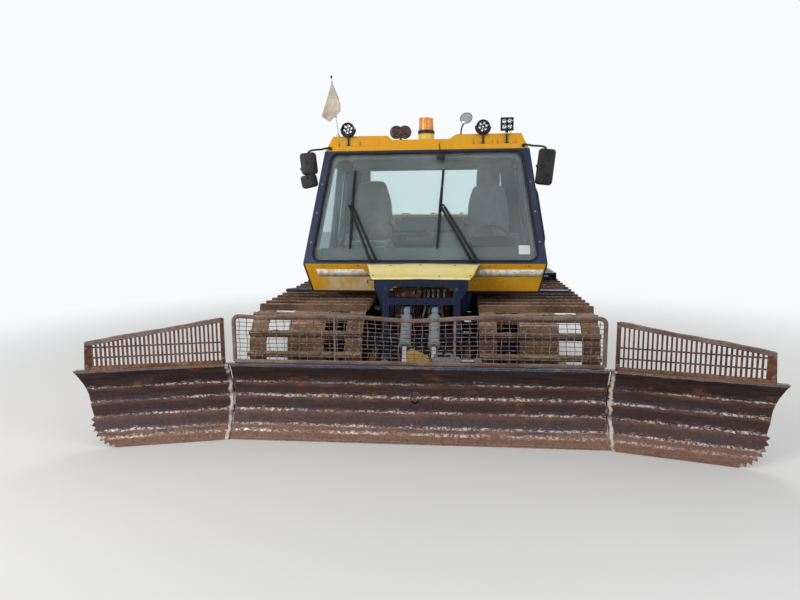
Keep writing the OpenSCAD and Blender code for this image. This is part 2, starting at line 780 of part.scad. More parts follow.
mirror_y = -1010;
module mirrors() color(black) {
    both_sides() {
        rod(on_band(eave_x - 50, eave_z + 24, seat), on_band(eave_x - 50, eave_z + 24, 14), 19);
        tube([
            on_band(eave_x - 50, eave_z + 24, 4), on_band(eave_x - 44, eave_z + 24, 30),
            [eave_x + 30, mirror_y + 40, eave_z + 10], [eave_x + 110, mirror_y, eave_z + 2],
            [eave_x + 160, mirror_y, eave_z - 30],
            [eave_x + 164, mirror_y, eave_z - 120], [eave_x + 164, mirror_y, eave_z - 210]
        ], 10);
        translate([eave_x + 150, mirror_y, eave_z - 190]) rotate([0, 6, 0]) along_y(-30, 18)
            polygon(rounded([[-85, -175], [85, -175], [85, 175], [-85, 175]], 34));
    }
    rod([345, -800, roof_top(-800) + 3 * seat], [345, -800, roof_top(-800) + 14], 22);
    tube([
        [345, -800, roof_top(-800) + 8], [352, -808, roof_z + 60], [385, -830, roof_z + 110],
        [400, -842, roof_z + 136]
    ], 8);
    rod([400, -842, roof_z + 136], [396, -862, roof_z + 146], 62);
}

// Seats, dashboard and controls

// Rows: middle x, height of the back's top, whether it has a headrest
seat_rows = [[-640, 2140, 0], [650, 2080, 1]];
seat_y = -420;
module seats() color([0.22, 0.22, 0.23])
    for (row = seat_rows)
        translate([row[0], seat_y, 0]) {
            box([-170, -180, deck_z + cab_wall], [170, 160, 1330]);
            along_y(-280, 240) polygon(rounded([[-260, 1330], [260, 1330], [260, 1470], [-260, 1470]], 40));
            along_x(-240, 240) polygon([[130, 1470 + seat], [250, 1470 + seat], [340, row[1]], [240, row[1]]]);
            if (row[2] == 1)
                along_x(-130, 130) polygon([
                    [245, row[1] + seat], [335, row[1] + seat], [350, row[1] + 230], [262, row[1] + 230]
                ]);
        }

module dashboard() color([0.12, 0.12, 0.13]) {
    along_x(-1010, 1010) polygon([
        [cab_front_low + 70, deck_z + cab_wall], [cab_front_low + 150, deck_z + cab_wall],
        [cab_front_low + 190, 1290], [cab_front_low + 170, 1420], [cab_front_low + 20, 1440],
        [cab_front_low - 24, 1320], [cab_front_low + 2, 1290]
    ]);
    rod([650, cab_front_low + 160, 1330], [650, cab_front_low + 330, 1520], 24);
    translate([650, cab_front_low + 335, 1524]) rotate([42, 0, 0]) rotate_extrude($fn = 40)
        translate([180, 0]) polygon(regular(15, 8));
    translate([650, cab_front_low + 335, 1524]) rotate([42, 0, 0]) {
        box([-178, -20, -8], [178, 20, 8]);
        cylinder(r = 46, h = 20, center = true);
    }
    box([-110, -900, deck_z + cab_wall], [110, -250, 1380]);
}

// Roof fittings

channel_z = roof_z - 50;
// Height of the roof's upper face at a place along the machine
function roof_top(y) = roof_z - 5 - 20 * (y - eave_y - 62) / (cab_rear - 110 - eave_y - 62);
lamp_y = -877;
module roof_lamps() color(black) {
    for (x = [-773, 560]) {
        rod([x, lamp_y, eave_z + 50 + seat], [x, lamp_y, roof_z + 20], 10);
        rod([x, lamp_y - 35, roof_z + 56], [x, lamp_y + 18, roof_z + 56], 68);
        rod([x, lamp_y + 18, roof_z + 56], [x, lamp_y + 34, roof_z + 56], 50);
    }
    rod([790, lamp_y, eave_z + 50 + seat], [790, lamp_y, roof_z + 20], 10);
    box([728, lamp_y - 32, roof_z + 14], [852, lamp_y + 18, roof_z + 138]);
}

module horns() color(rust) {
    for (x = [-292, -208]) {
        rod([x, -875, roof_z + 24], [x, -846, roof_z + 24], 66);
        rod([x, -846, roof_z + 24], [x, -816, roof_z + 24], 40);
    }
    box([-300, -856, channel_z + seat], [-200, -826, roof_z + 10]);
}

module beacon() translate([0, -770, channel_z + seat]) {
    color(yellow) cylinder(r = 82, h = 60);
    color(black) translate([0, 0, 60]) cylinder(r = 84, h = 34);
    color([0.95, 0.45, 0.05]) translate([0, 0, 94]) cylinder(r = 72, h = 112);
    color(yellow) translate([0, 0, 206]) cylinder(r1 = 74, r2 = 62, h = 14);
}

flag_foot = [-885, -830, roof_top(-830) + 20 + 3 * seat];
flag_tip = [-944, -830, 3136];
pole_r = 6;
module flag_pole() color([0.75, 0.74, 0.7]) {
    rod(flag_foot, flag_tip, pole_r);
    translate(flag_foot) sphere(r = 14, $fn = 32);
    translate(flag_foot - [0, 0, 20]) cylinder(r = 18, h = 16);
}

// Rows: how far across and how far up from the pole's tip the flag's corners lie
flag_corners = [[10, -62], [-100, -397], [-25, -449], [96, -348], [86, -271], [65, -198]];
flag_t = 4;
module flag() color([0.85, 0.84, 0.8])
    along_y(flag_tip[1] - pole_r - 0.5 - flag_t, flag_tip[1] - pole_r - 0.5)
        polygon([for (row = flag_corners) [flag_tip[0] + row[0], flag_tip[2] + row[1]]]);

// Engine and rear body

house_x = 640;
house_y0 = cab_rear + 40;
house_y1 = 1640;
house_top = 1735;
house_wall = 30;
module engine_house() color(yellow) {
    lid_brackets();
    house_walls();
}

module house_walls() difference() {
    box([-house_x, house_y0, deck_z], [house_x, house_y1, house_top]);
    box([-house_x + house_wall, house_y0 + house_wall, deck_z - 1], [house_x - house_wall, house_y1 - house_wall,
        house_top + 1]);
    both_sides() for (z = [deck_z + 180 : 55 : house_top - 130])
        box([house_x - house_wall - 1, house_y0 + 220, z], [house_x + 1, house_y1 - 220, z + 26]);
    for (x = [-house_x + 130 : 62 : house_x - 150])
        box([x, house_y1 - house_wall - 1, deck_z + 150], [x + 30, house_y1 + 1, house_top - 130]);
}

lid_t = 30;
lid_hinge = [house_y0 - 16, house_top + 8];
lid_hinge_xs = [-420, 420];
module lid_knuckles(w) for (x = lid_hinge_xs)
    rod([x - w / 2, lid_hinge[0], lid_hinge[1]], [x + w / 2, lid_hinge[0], lid_hinge[1]], hinge_r);

module engine_lid() color(yellow) difference() {
    union() {
        along_x(-house_x - 12, house_x + 12) polygon([
            [house_y0, house_top + seat], [house_y1 + 12, house_top + seat], [house_y1 + 12, house_top + lid_t],
            [house_y0 + 60, house_top + lid_t], [house_y0, house_top + lid_t - 8]
        ]);
        for (x = [-360, 0, 360])
            box([x - 20, house_y0 + 200, house_top + lid_t], [x + 20, house_y1 - 120, house_top + 18 + lid_t]);
        lid_knuckles(60);
        for (x = lid_hinge_xs)
            box([x - 30, lid_hinge[0], lid_hinge[1]], [x + 30, house_y0 + 10, lid_hinge[1] + 13]);
    }
    for (x = lid_hinge_xs)
        rod([x - 40, lid_hinge[0], lid_hinge[1]], [x + 40, lid_hinge[0], lid_hinge[1]], hinge_pin_r + pin_gap);
}

module lid_brackets() for (x = lid_hinge_xs) {
    for (side = [-1, 1])
        along_x(x + side * 37 - 6, x + side * 37 + 6) {
            translate(lid_hinge) circle(r = hinge_r);
            polygon([
                lid_hinge + [-hinge_r, 0], [house_y0 + 2, house_top - 70], [house_y0 + 2, house_top - 10],
                lid_hinge + [0, -hinge_r + 3]
            ]);
        }
    rod([x - 43, lid_hinge[0], lid_hinge[1]], [x + 43, lid_hinge[0], lid_hinge[1]], hinge_pin_r);
}

module engine() color([0.25, 0.26, 0.27])
    box([-rail_x + rail_w / 2 + 10, house_y0 + 120, rail_top - 40], [rail_x - rail_w / 2 - 10, house_y1 - 160,
        house_top - 175]);

rear_deck_y1 = 2470;
deck_x = 1500;
module rear_deck() color(navy) {
    difference() {
        box([-deck_x, cab_rear + 10, deck_z], [deck_x, rear_deck_y1, deck_z + deck_t]);
        box([-house_x - seat, house_y0 - seat, deck_z - 1], [house_x + seat, house_y1 + seat,
            deck_z + deck_t + 1]);
    }
    both_sides() along_x(deck_x - 12, deck_x) polygon([
        [cab_rear + 10, deck_z + deck_t], [cab_rear + 10, deck_z - 70], [rear_deck_y1, deck_z - 20],
        [rear_deck_y1, deck_z + deck_t]
    ]);
    rear_rail();
}

module rear_rail() {
    rail_z = deck_z + deck_t + 420;
    both_sides() {
        for (y = [house_y1 + 140, rear_deck_y1 - 60])
            rod([1420, y, deck_z + deck_t - 2], [1420, y, rail_z], 22);
        rod([1420, house_y1 + 118, rail_z], [1420, rear_deck_y1 - 38, rail_z], 22);
    }
}

module fuel_tank() color(yellow) difference() {
    along_y(house_y1 + 70, house_y1 + 620) polygon(rounded([
        [-560, deck_z + deck_t], [560, deck_z + deck_t], [560, deck_z + 400], [-560, deck_z + 400]
    ], 60));
    translate([380, house_y1 + 340, deck_z + 380]) cylinder(r = 52, h = 40);
}

module exhaust_stack() color(rust) {
    pipe([-820, 560, deck_z + deck_t + seat], [-820, 560, deck_z + 360], 58, 50);
    rod([-820, 560, deck_z + 300], [-820, 560, 2020], 105);
    pipe([-820, 560, 2019], [-820, 560, 2330], 55, 48);
    rod([-house_x - seat, 560, 1400], [-820, 560, 1400], 40);
}

module tail_lamps() color([0.6, 0.08, 0.06]) both_sides()
    for (x = [1290, 1390]) rod([x, rear_deck_y1 + seat, deck_z - 30], [x, rear_deck_y1 + 30, deck_z - 30], 46);

// Front linkage

push_tube = [-2130, 340];
push_pivot = [0, -2215];
lift_foot = [-2060, 440];
angle_x = -300;
angle_rear = [angle_x, -1870, 478];
angle_front = [angle_x, -2236, 478];
cross_tube = [-1780, 430];
cross_x = [1, 0, 0];
up = [0, 0, 1];
along = [0, 1, 0];
pivot_r = 24;

module push_frame() color(rust) difference() {
    union() {
        both_sides() along_x(push_arm_x - 25, push_arm_x + 25) {
            translate(push_hinge) circle(r = 72);
            translate(push_tube) circle(r = 90);
            polygon([
                push_hinge + [0, 66], push_hinge + [0, -70], [-1700, 330], push_tube + [0, -88],
                push_tube + [0, 88], [-1750, 520]
            ]);
        }
        rod([-push_arm_x, push_tube[0], push_tube[1]], [push_arm_x, push_tube[0], push_tube[1]], 70);
        rod([-push_arm_x, cross_tube[0], cross_tube[1]], [push_arm_x, cross_tube[0], cross_tube[1]], 46);
        push_nose();
        for (x = [-lift_x, lift_x]) {
            cheeks_x(x, lift_size) polygon([
                lift_foot + [-42, 0], push_tube + [-60, 20], push_tube + [60, -10], lift_foot + [42, 0]
            ]);
            pin([x, lift_foot[0], lift_foot[1]], cross_x, lift_size, lift_slim);
        }
        cheeks_z(angle_rear[2], small_size) polygon([
            [angle_x - 32, angle_rear[1]], [angle_x - 50, cross_tube[0]], [angle_x + 50, cross_tube[0]],
            [angle_x + 32, angle_rear[1]]
        ]);
        pin(angle_rear, up, small_size, small_size[3]);
    }
    both_sides() rod([push_arm_x - 30, push_hinge[0], push_hinge[1]], [push_arm_x + 30, push_hinge[0],
        push_hinge[1]], push_pin_r + pin_gap);
    translate([0, push_pivot[1], 200]) cylinder(r = pivot_r + pin_gap, h = 300);
}

// Nose of the push frame, with the upright bore of the blade's angling pin
nose_z = [262, 418];
module push_nose() translate([0, 0, nose_z[0]]) linear_extrude(nose_z[1] - nose_z[0]) {
    translate(push_pivot) circle(r = 45);
    polygon([[-45, push_pivot[1]], [-90, push_tube[0]], [90, push_tube[0]], [45, push_pivot[1]]]);
}

lift_a = [0, lift_top[0], lift_top[1]];
lift_b = [0, lift_foot[0], lift_foot[1]];
module lift_barrels() color(grey_blue)
    for (x = [-lift_x, lift_x])
        translate([x, 0, 0]) cylinder_barrel(lift_a, lift_b, cross_x, lift_size, 355);

module lift_rods() color(steel)
    for (x = [-lift_x, lift_x])
        translate([x, 0, 0]) cylinder_rod(lift_a, lift_b, cross_x, lift_size, 282);

carrier_z = 330;
carrier_front = -2300;
carrier_rear = -2274;
tilt_pin_r = 42;
tilt_a = [80, -2256, 590];
tilt_b = [490, -2256, 590];
module blade_carrier() color([0.70, 0.50, 0.12]) {
    for (z = [nose_z[0] - 26, nose_z[1] + 8])
        translate([0, 0, z]) linear_extrude(18) {
            translate(push_pivot) circle(r = 44);
            polygon([[-44, push_pivot[1]], [-150, carrier_rear], [150, carrier_rear], [44, push_pivot[1]]]);
        }
    box([-380, carrier_front, 200], [380, carrier_rear, 505]);
    translate([0, push_pivot[1], nose_z[0] - 26]) cylinder(r = pivot_r, h = nose_z[1] - nose_z[0] + 60);
    along_y(carrier_front, carrier_front + 18) polygon([
        [-80, 500], [116, 500], [116, 600], [96, 640], [-40, 700], [-80, 660]
    ]);
    box([-70, carrier_front + 10, 500], [20, -2240, 620]);
    rod(tilt_a - along * 40, tilt_a + along * (small_size[4] / 2 + 8), small_size[3]);
    rod([0, carrier_front - 88, carrier_z], [0, carrier_front + 4, carrier_z], tilt_pin_r);
    cheeks_z(angle_front[2], small_size) translate([angle_x - 30, carrier_front + 4])
        square([60, angle_front[1] - carrier_front - 4]);
    pin(angle_front, up, small_size, small_slim);
}

module angle_barrel() color(grey_blue) cylinder_barrel(angle_rear, angle_front, up, small_size, 230);

module angle_rod() color(steel) cylinder_rod(angle_rear, angle_front, up, small_size, 112);

module tilt_barrel() color(grey_blue) cylinder_barrel(tilt_a, tilt_b, along, small_size, 250);

module tilt_rod() color(steel) cylinder_rod(tilt_a, tilt_b, along, small_size, 92);

// Blade

// Front face of the blade, from its top to its cutting edge: places behind the edge, and shares of its height
blade_face = [
    [58, 1], [58, 0.985], [76, 0.9365], [126, 0.7375], [148, 0.5468], [124, 0.3579], [72, 0.1839], [44, 0.107],
    [0, 0]
];
blade_line = [for (p = blade_face) [edge_y + p[0], edge_z + p[1] * (blade_h - edge_z)]];
lip_z = blade_h - 4;
blade_ribs = [150, 560, 1000, blade_x - 42];
beam_rear = -2312;
beam_front = -2396;
wing_pin_a = [1000, -2240, 330];

module blade_plate(x0, x1) along_x(x0, x1) polygon(thick_line(blade_line, plate_t));

// Upright rib behind the plate, following its bends
module rib(x) along_x(x - 7, x + 7) polygon(concat(
    [for (i = [2 : 7]) blade_line[i] + [plate_t - 3, 0]],
    [[beam_rear, blade_h * 0.42], [beam_rear, blade_h * 0.75], [-2420, blade_h - 15]]
));

module blade() color(rust) {
    difference() {
        union() {
            blade_plate(-blade_x, blade_x);
            both_sides() {
                for (x = blade_ribs) rib(x);
                cheeks_z(wing_pin_a[2], small_size) translate([wing_pin_a[0] - 32, beam_rear - 4])
                    square([64, wing_pin_a[1] - beam_rear + 4]);
                pin(wing_pin_a, up, small_size, small_size[3]);
                blade_knuckles();
            }
            box([-blade_x + 32, beam_front, 260], [blade_x - 32, beam_rear, 400]);
            box([-blade_x, edge_y + 2, edge_z], [blade_x, edge_y + 26, edge_z + 16]);
            box([-blade_x, -2494, lip_z - 12], [blade_x, -2430, lip_z]);
            box([462, -2444, 470], [518, -2288, 628]);
            rod(tilt_b - along * 40, tilt_b + along * (small_size[4] / 2 + 8), small_slim);
        }
        rod([0, beam_front - 40, carrier_z], [0, beam_rear + 10, carrier_z], tilt_pin_r + pin_gap);
    }
    rod([0, -2418, 300], [0, beam_front - 6, 300], 32);
}

// The blade's half of a wing hinge: two knuckles, joined to the end rib, and the pin
wing_pin_r = 14;
knuckle_r = 26;
blade_knuckle_zs = [130, 430];
wing_knuckle_zs = [195, 365];
knuckle_l = 56;
module blade_knuckles() {
    for (z = blade_knuckle_zs) {
        translate([wing_hinge[0], wing_hinge[1], z]) cylinder(r = knuckle_r, h = knuckle_l, center = true);
        box([blade_x - 46, wing_hinge[1] - 10, z - knuckle_l / 2], [wing_hinge[0], wing_hinge[1] + 10,
            z + knuckle_l / 2]);
    }
    translate([wing_hinge[0], wing_hinge[1], blade_knuckle_zs[0]])
        cylinder(r = wing_pin_r, h = blade_knuckle_zs[1] - blade_knuckle_zs[0]);
}

grille_y = -2468;
grille_t = 8;
pipe_r = 17;
module blade_grille() color(rust) {
    foot = blade_h + seat;
    frame = [[-blade_x + 20, foot], [blade_x - 20, foot], [blade_x - 20, grille_top], [-blade_x + 20, grille_top]];
    along_y(grille_y - pipe_r, grille_y + pipe_r) difference() {
        polygon(rounded(frame, 80));
        polygon(rounded(shrink(frame, 2 * pipe_r), 60));
    }
    along_y(grille_y - grille_t / 2, grille_y + grille_t / 2) difference() {
        polygon(rounded(shrink(frame, 2 * pipe_r - 2), 50));
        for (x = [-blade_x + 60 : mesh_x : blade_x - 60 - mesh_x])
            for (z = [foot + 40 : mesh_z : grille_top - 2 * pipe_r - mesh_z])
                translate([x + 4, z + 3]) square([mesh_x - 8, mesh_z - 6]);
    }
}

// Wings, drawn straight out from the blade and then turned forward about their hinge

wing_hinge = [blade_x + wing_gap / 2, -2360];
corner_r = 215;
wing_u = wing_hinge[0] + wing_gap / 2;
wing_end = wing_u + wing_l;
// How far a wing's upright edge stands inward of the tip of its lip
wing_inset = 90;
wing_corner = [wing_end - wing_inset - corner_r, edge_z + corner_r];
// Rows: how far inward of the tip, and share of the blade's height, up a wing's hollow outer edge
wing_edge = [[88, 0.5], [80, 0.66], [54, 0.82], [22, 0.94], [0, 1.01]];
// Outline of a wing seen from the front, with a toothed corner
wing_outline = concat(
    [[wing_u - 100, edge_z - 1], [wing_corner[0], edge_z - 1]],
    [
        for (i = [0 : wing_teeth - 1])
            let (a = -90 + 90 * (i + 0.5) / wing_teeth, b = -90 + 90 * (i + 1) / wing_teeth)
            for (p = [[a, corner_r + 4], [b, corner_r - 20]])
                wing_corner + p[1] * [cos(p[0]), sin(p[0])]
    ],
    [for (row = wing_edge) [wing_end - row[0], row[1] * blade_h]],
    [[wing_u - 100, blade_h * 1.01]]
);

module on_wing() translate([wing_hinge[0], wing_hinge[1], 0]) rotate([0, 0, -wing_turn])
    translate([-wing_hinge[0], -wing_hinge[1], 0]) children();

// A wing's lug for its cylinder, before the wing is turned
wing_lever = [260, 170];
wing_eye = [wing_hinge[0] + wing_lever[0], wing_hinge[1] + wing_lever[1], wing_pin_a[2]];
module wing() color(rust) {
    difference() {
        on_wing() intersection() {
            union() {
                blade_plate(wing_u - 60, wing_end + 50);
                for (x = [wing_u + 70, wing_u + 300, wing_u + 700]) rib(x);
                box([wing_u + 60, beam_front, 300], [wing_end - 300, -2330, 380]);
                box([wing_u - 60, -2494, lip_z - 12], [wing_end, -2430, lip_z]);
                cheeks_z(wing_eye[2], small_size) translate([wing_eye[0] - 32, -2340])
                    square([64, wing_eye[1] + 2340]);
                pin(wing_eye, up, small_size, small_slim);
            }
            along_y(edge_y - 150, wing_hinge[1] + 360) polygon(wing_outline);
        }
        translate([wing_u - 500, -3000, -50]) cube([500, 1500, 800]);
    }
    wing_knuckles();
}

module wing_knuckles() difference() {
    for (z = wing_knuckle_zs) {
        translate([wing_hinge[0], wing_hinge[1], z]) cylinder(r = knuckle_r, h = knuckle_l, center = true);
        on_wing() box([wing_hinge[0], wing_hinge[1] - 22, z - knuckle_l / 2 + 4], [wing_u + 80, wing_hinge[1] + 14,
            z + knuckle_l / 2 - 4]);
    }
    translate([wing_hinge[0], wing_hinge[1], 100]) cylinder(r = wing_pin_r + pin_gap, h = 400);
}

module wing_left() wing();

module wing_right() mirror([1, 0, 0]) wing();

// Heights of a wing grille's top over its foot, at the hinge and at the outer end
wing_grille_h = [368, 218];
module wing_grille() color(rust) on_wing() {
    foot = lip_z + seat;
    frame = [
        [wing_u + 60, foot], [wing_end - 82, foot], [wing_end - 94, foot + wing_grille_h[1]],
        [wing_u + 60, foot + wing_grille_h[0]]
    ];
    slat_step = (wing_l - 226) / wing_slats;
    along_y(grille_y - 8, grille_y + 8) difference() {
        polygon(frame);
        intersection() {
            polygon(shrink(frame, 30));
            for (i = [0 : wing_slats - 1])
                translate([wing_u + 92 + i * slat_step, foot]) square([slat_step - 14, wing_grille_h[0]]);
        }
    }
    for (h = [94, 174])
        rod([wing_u + 70, grille_y + 8, foot + h], [wing_end - 98, grille_y + 8, foot + h], 6);
}

module wing_grille_left() wing_grille();

module wing_grille_right() mirror([1, 0, 0]) wing_grille();

wing_pin_b = [
    wing_hinge[0] + wing_lever[0] * cos(wing_turn) + wing_lever[1] * sin(wing_turn),
    wing_hinge[1] - wing_lever[0] * sin(wing_turn) + wing_lever[1] * cos(wing_turn),
    wing_pin_a[2]
];
module wing_barrel_left() color(grey_blue) cylinder_barrel(wing_pin_a, wing_pin_b, up, small_size, 420);

module wing_barrel_right() mirror([1, 0, 0]) wing_barrel_left();

module wing_rod_left() color(steel) cylinder_rod(wing_pin_a, wing_pin_b, up, small_size, 185);

module wing_rod_right() mirror([1, 0, 0]) wing_rod_left();

// Rear implement frame

rear_hinge = [2250, rear_hinge_z];
rear_top = [2330, 900];
rear_foot = [2620, 505];
rear_x = 2 * lift_x;
module rear_tower() for (x = [-rear_x, rear_x]) {
    cheeks_x(x, lift_size) polygon([
        [2180, rail_top - 120], [2350, rail_top - 120], rear_top + [-24, -88], rear_top + [20, -38],
        rear_top - [44, 0], [2190, 820]
    ]);
    pin([x, rear_top[0], rear_top[1]], cross_x, lift_size, lift_size[3]);
}

hitch_hole_r = 16;
module rear_frame() color(navy) difference() {
    union() {
        both_sides() along_x(push_arm_x - 25, push_arm_x + 25) {
            translate(rear_hinge) circle(r = 70);
            polygon([
                rear_hinge + [0, 64], rear_hinge + [0, -64], [2650, 400], [rear_end - 60, 400], [rear_end, 440],
                [rear_end, 500], [2600, 560]
            ]);
        }
        rod([-push_arm_x, 2705, 462], [push_arm_x, 2705, 462], 40);
        for (x = [-rear_x, rear_x]) {
            cheeks_x(x, lift_size) polygon([
                rear_foot + [0, 42], rear_foot + [0, -42], [2690, 430], [2690, 510]
            ]);
            pin([x, rear_foot[0], rear_foot[1]], cross_x, lift_size, lift_slim);
        }
    }
    both_sides() {
        rod([push_arm_x - 30, rear_hinge[0], rear_hinge[1]], [push_arm_x + 30, rear_hinge[0], rear_hinge[1]],
            push_pin_r + pin_gap);
        rod([push_arm_x - 30, rear_end - 46, 462], [push_arm_x + 30, rear_end - 46, 462], hitch_hole_r);
    }
}

rear_a = [0, rear_top[0], rear_top[1]];
rear_b = [0, rear_foot[0], rear_foot[1]];
module rear_barrels() color(grey_blue)
    for (x = [-rear_x, rear_x])
        translate([x, 0, 0]) cylinder_barrel(rear_a, rear_b, cross_x, lift_size, 285);

module rear_rods() color(steel)
    for (x = [-rear_x, rear_x])
        translate([x, 0, 0]) cylinder_rod(rear_a, rear_b, cross_x, lift_size, 220);

chassis();
axles();
wheel_rims();
tyres();
drive_drums();
track_left();
track_right();
nose_portal();
hydraulics();
hoses();
hood_flap();
cab_body();
cab_frame();
cab_roof();
cab_glass();
wipers();
mirrors();
door_left();
door_glass_left();
door_right();
door_glass_right();
seats();
dashboard();
roof_lamps();
horns();
beacon();
flag_pole();
flag();
engine();
engine_house();
engine_lid();
rear_deck();
fuel_tank();
exhaust_stack();
tail_lamps();
push_frame();
lift_barrels();
lift_rods();
blade_carrier();
angle_barrel();
angle_rod();
tilt_barrel();
tilt_rod();
blade();
blade_grille();
wing_left();
wing_right();
wing_grille_left();
wing_grille_right();
wing_barrel_left();
wing_barrel_right();
wing_rod_left();
wing_rod_right();
rear_frame();
rear_barrels();
rear_rods();
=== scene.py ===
"""Dresses a tracked snow groomer: finishes for its solids, and the small pieces that ride on them."""

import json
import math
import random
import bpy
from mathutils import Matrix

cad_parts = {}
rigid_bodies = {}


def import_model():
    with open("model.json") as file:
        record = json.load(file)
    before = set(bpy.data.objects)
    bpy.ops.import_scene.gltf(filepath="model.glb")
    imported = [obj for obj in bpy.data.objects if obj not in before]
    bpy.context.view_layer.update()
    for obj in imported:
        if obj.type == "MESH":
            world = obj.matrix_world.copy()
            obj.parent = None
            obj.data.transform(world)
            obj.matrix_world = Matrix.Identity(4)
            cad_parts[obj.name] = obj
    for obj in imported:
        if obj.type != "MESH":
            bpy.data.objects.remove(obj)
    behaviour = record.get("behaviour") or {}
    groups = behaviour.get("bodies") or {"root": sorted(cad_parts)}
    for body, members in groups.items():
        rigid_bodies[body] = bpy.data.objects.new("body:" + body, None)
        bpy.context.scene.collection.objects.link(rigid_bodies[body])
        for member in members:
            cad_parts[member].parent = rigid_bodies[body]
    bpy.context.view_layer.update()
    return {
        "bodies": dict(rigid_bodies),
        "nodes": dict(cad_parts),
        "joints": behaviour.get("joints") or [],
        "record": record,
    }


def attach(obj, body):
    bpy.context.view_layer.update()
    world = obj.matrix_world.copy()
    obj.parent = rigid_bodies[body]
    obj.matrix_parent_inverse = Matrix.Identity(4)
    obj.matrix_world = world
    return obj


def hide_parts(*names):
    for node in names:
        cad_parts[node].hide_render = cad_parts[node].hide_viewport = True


bl_info = {
    "name": "Tracked snow groomer",
    "version": (1, 0, 0),
    "blender": (4, 5, 0),
    "location": "3D View > Sidebar > Groomer",
    "description": "Finishes and small pieces for a tracked snow groomer",
    "category": "Object",
}

import bmesh
import bpy
from bpy.props import FloatProperty, FloatVectorProperty, IntProperty
from mathutils import Matrix, Vector

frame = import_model()
NODES = frame["nodes"]
ROOT = "chassis"
MATERIALS = {}
UP = Vector((0, 0, 1))


# ---------------------------------------------------------------- sizes, in metres, as in the frame's source

BLADE_X = 1.460
EDGE_Y = -2.552
EDGE_Z = 0.002
# Rows: place behind the cutting edge, height, of the bends in the blade's front face
BLADE_FACE = [(0.0, 0.0), (0.044, 0.064), (0.072, 0.110), (0.124, 0.214), (0.148, 0.327), (0.126, 0.441), (0.076, 0.560),
              (0.058, 0.589), (0.058, 0.598)]
BEND_HEIGHTS = [z + EDGE_Z for _, z in BLADE_FACE[1:6]]
WING_HINGE = Vector((1.465, -2.360, 0))
WING_U = 1.470
WING_L = 1.180
WING_TURN = math.radians(16)
GRILLE_Y = -2.468
SILL_Y, SILL_Z, EAVE_Y, EAVE_Z, ROOF_Z = -1.352, 1.300, -0.912, 2.390, 2.545
RAKE = (EAVE_Y - SILL_Y) / (EAVE_Z - SILL_Z)
SHIELD_NORMAL = Vector((0, SILL_Z - EAVE_Z, EAVE_Y - SILL_Y)).normalized()
APRON_NORMAL = Vector((0, -0.270, -0.140)).normalized()
TRACK_X = 1.035


# ---------------------------------------------------------------- finishes


